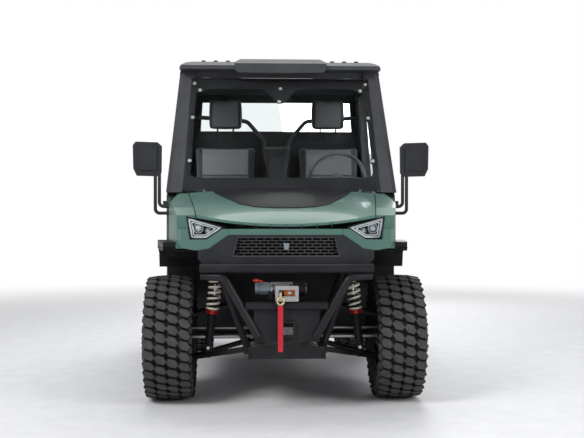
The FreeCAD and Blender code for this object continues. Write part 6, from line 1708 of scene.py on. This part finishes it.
# %% Bolts on the panels
PANEL_BOLT = 0.0055
LEAST_SQUARE = -0.8
COVER_SKIN = skin_of(NODES["bumper_cover"].data)
FLARE_SKIN = skin_of(NODES["wheel_flares"].data)

panel_spots = []
for side in (-1, 1):
    looks = [(COVER_SKIN, (side * x, -2.0, 0.775), (0, 1, 0)) for x in (0.350, 0.150)]
    looks += [(FLARE_SKIN, (side * 1.2, y, 0.842), (-side, 0, 0)) for y in (-1.16, -1.02, -0.88)]
    for skin, start, way in looks:
        spot, outward = landing(skin, start, way)
        if spot is not None and outward.dot(Vector(way)) < LEAST_SQUARE:
            panel_spots.append((spot, outward, PANEL_BOLT))
            print("bolt at", [round(value, 3) for value in spot])
bolts("panel_bolts", "frame", panel_spots, "soft_black")

# %% [markdown]
# Inside, the dash gets a hooded instrument, three round vents, a row of switches and a glove box lid. All of it
# stands on the dash's rear face, towards the seats. That face slopes, so the same straight look finds each place and
# the way it faces, and a plate is then drawn in that sloping plane.

# %% Dash details
grained("screen_glass", (0.010, 0.016, 0.020), (0.016, 0.024, 0.030), 0.06, 300, 0.01, coat=1.0)
DASH_SKIN = skin_of(NODES["dash"].data)
VENTS = (-0.45, 0.53, -0.05)
VENT_HEIGHT, VENT_RADIUS, VENT_SLATS = 1.055, 0.036, 4
SWITCHES, SWITCH_START, SWITCH_STEP, SWITCH_HEIGHT = 5, 0.085, 0.030, 0.985
LID_X = -0.27
POD_OUTLINE = [(0.285, 1.085), (0.455, 1.085), (0.440, 1.192), (0.300, 1.192)]
DISPLAY_OUTLINE = [(0.302, 1.140), (0.438, 1.140), (0.426, 1.182), (0.314, 1.182)]


def dash_face(x, height):
    """A point on the dash's rear face at a height, with the direction square to it there."""
    return landing(DASH_SKIN, (x, 0.2, height), (0, -1, 0))


def on_dash(spot, way, out):
    """Places an outline flat on the dash round a spot, a little in front of its face."""
    up = Vector((1, 0, 0)).cross(way).normalized()
    if up.z < 0:
        up = -up
    return lambda u, v, depth: spot + Vector((u, 0, 0)) + up * v + way * (out - depth)


def dash_vent(bm, x):
    """A round vent with its slats."""
    size = VENT_RADIUS
    spot, way = dash_face(x, VENT_HEIGHT)
    turned(bm, spot, way, [(0.0, size), (0.004, size + 0.002), (0.007, size), (0.0072, size - 0.006),
                           (0.003, size - 0.008)], 0, 32)
    for index in range(VENT_SLATS):
        shift = -0.020 + index * 0.0133
        half = math.sqrt(max((size - 0.008) ** 2 - shift ** 2, 0.0001))
        low = spot + way * 0.005 + Vector((-half, 0, shift))
        tube(bm, [low, low + Vector((2 * half, 0, 0))], 0.0017, 0, 6)


def dash_pod(bm):
    """The hooded instrument behind the steering wheel, with its display."""
    back = dash_face(WHEEL_CENTRE.x, 1.100)[0].y
    plate(bm, rounded(POD_OUTLINE, 0.02, 4), lambda u, v, depth: Vector((u, back - 0.012 - depth, v)),
          0.060, 0, 0.004)
    plate(bm, rounded(DISPLAY_OUTLINE, 0.012, 4), lambda u, v, depth: Vector((u, back - 0.0105 - depth, v)),
          0.003, 1)


dash_bm = bmesh.new()
for x in VENTS:
    dash_vent(dash_bm, x)
for index in range(SWITCHES):
    spot, way = dash_face(SWITCH_START + index * SWITCH_STEP, SWITCH_HEIGHT)
    plate(dash_bm, rounded(oblong(-0.010, 0.010, -0.015, 0.015), 0.003, 2), on_dash(spot, way, 0.005), 0.0055, 0,
          0.0015)
spot, way = dash_face(LID_X, SWITCH_HEIGHT)
plate(dash_bm, rounded(oblong(-0.16, 0.16, -0.055, 0.045), 0.015, 4), on_dash(spot, way, 0.004), 0.0045, 0, 0.0015)
plate(dash_bm, rounded(oblong(-0.025, 0.025, 0.018, 0.034), 0.005, 3), on_dash(spot, way, 0.0065), 0.003, 2, 0.001)
dash_pod(dash_bm)
finished("dash_details", dash_bm, "frame", ["black_plastic", "screen_glass", "spoke_satin"])

# %% [markdown]
# The studio is not part of the machine. A pale floor would end in a hard line at the horizon. It fades to plain
# white with distance instead, and only the camera and the panes see the white backdrop, while the machine is lit by
# a dimmer, cooler sky.

# %% Floor and sky
FLOOR_HALF = 30.0
FADE_NEAR = 3.2
FADE_FAR = 9.0
SKY_COLOUR = (0.80, 0.82, 0.85, 1)
SKY_STRENGTH = 0.42
WHITE = (1, 1, 1, 1)


def swapped(tree, share, first, second, ending):
    """Sends a mix of two shaders to the end node of a tree."""
    mix = wire(tree, "ShaderNodeMixShader", {"Fac": share, 1: first, 2: second})
    tree.links.new(mix, tree.nodes[ending].inputs["Surface"])


def pale_floor():
    """A pale floor that fades to plain white with distance, so that it meets the backdrop without a line."""
    material = grained("pale_floor", (0.72, 0.72, 0.73), (0.78, 0.78, 0.79), 0.6, 60, 0.02)
    tree = material.node_tree
    far = wire(tree, "ShaderNodeVectorMath", {0: own_place(tree)}, "Value", operation="LENGTH")
    fade = wire(tree, "ShaderNodeMapRange", {"Value": far, "From Min": FADE_NEAR, "From Max": FADE_FAR}, "Result",
                interpolation_type="SMOOTHSTEP")
    swapped(tree, fade, tree.nodes["Principled BSDF"].outputs[0],
            wire(tree, "ShaderNodeEmission", {"Color": WHITE}), "Material Output")
    return material


floor_mesh = bpy.data.meshes.new("studio_floor")
floor_mesh.from_pydata([(x, y, 0) for x, y in oblong(-FLOOR_HALF, FLOOR_HALF, -FLOOR_HALF, FLOOR_HALF)], [],
                       [(0, 1, 2, 3)])
floor = bpy.data.objects.new("studio_floor", floor_mesh)
bpy.context.scene.collection.objects.link(floor)
floor_mesh.materials.append(pale_floor())

world = bpy.data.worlds.new("studio_world")
bpy.context.scene.world = world
world.use_nodes = True
sky = world.node_tree.nodes["Background"]
sky.inputs["Color"].default_value = SKY_COLOUR
sky.inputs["Strength"].default_value = SKY_STRENGTH
rays = wire(world.node_tree, "ShaderNodeLightPath").node.outputs
seen = maths(world.node_tree, "MAXIMUM", rays["Is Camera Ray"], rays["Is Transmission Ray"])
swapped(world.node_tree, seen, sky.outputs[0], wire(world.node_tree, "ShaderNodeBackground", {"Color": WHITE}),
        "World Output")
print("floor", 2 * FLOOR_HALF, "m wide")

# %% [markdown]
# Four large soft lamps light the machine: a key from the front left of the picture, a fill from its right, one above
# the cab and one behind it. Small lamps would give hard glints on the dark plastic, so each is more than two metres
# wide.

# %% Lamps
LAMPS = (
    # name, place, aim, size, watts
    ("key_lamp", (-3.4, -4.2, 4.4), (0, -0.4, 0.9), 2.2, 210),
    ("fill_lamp", (3.8, -3.8, 2.6), (0, -0.4, 0.8), 2.4, 95),
    ("top_lamp", (0.0, 1.2, 5.0), (0, 0.4, 0.9), 3.4, 130),
    ("back_lamp", (1.5, 5.0, 3.2), (0, 0.6, 1.0), 3.0, 130),
)
for name, place, aim, size, watts in LAMPS:
    data = bpy.data.lights.new(name, "AREA")
    data.energy = watts
    data.size = size
    lamp = bpy.data.objects.new(name, data)
    lamp.location = place
    lamp.rotation_euler = (Vector(aim) - Vector(place)).to_track_quat("-Z", "Y").to_euler()
    bpy.context.scene.collection.objects.link(lamp)
print(len(LAMPS), "lamps")
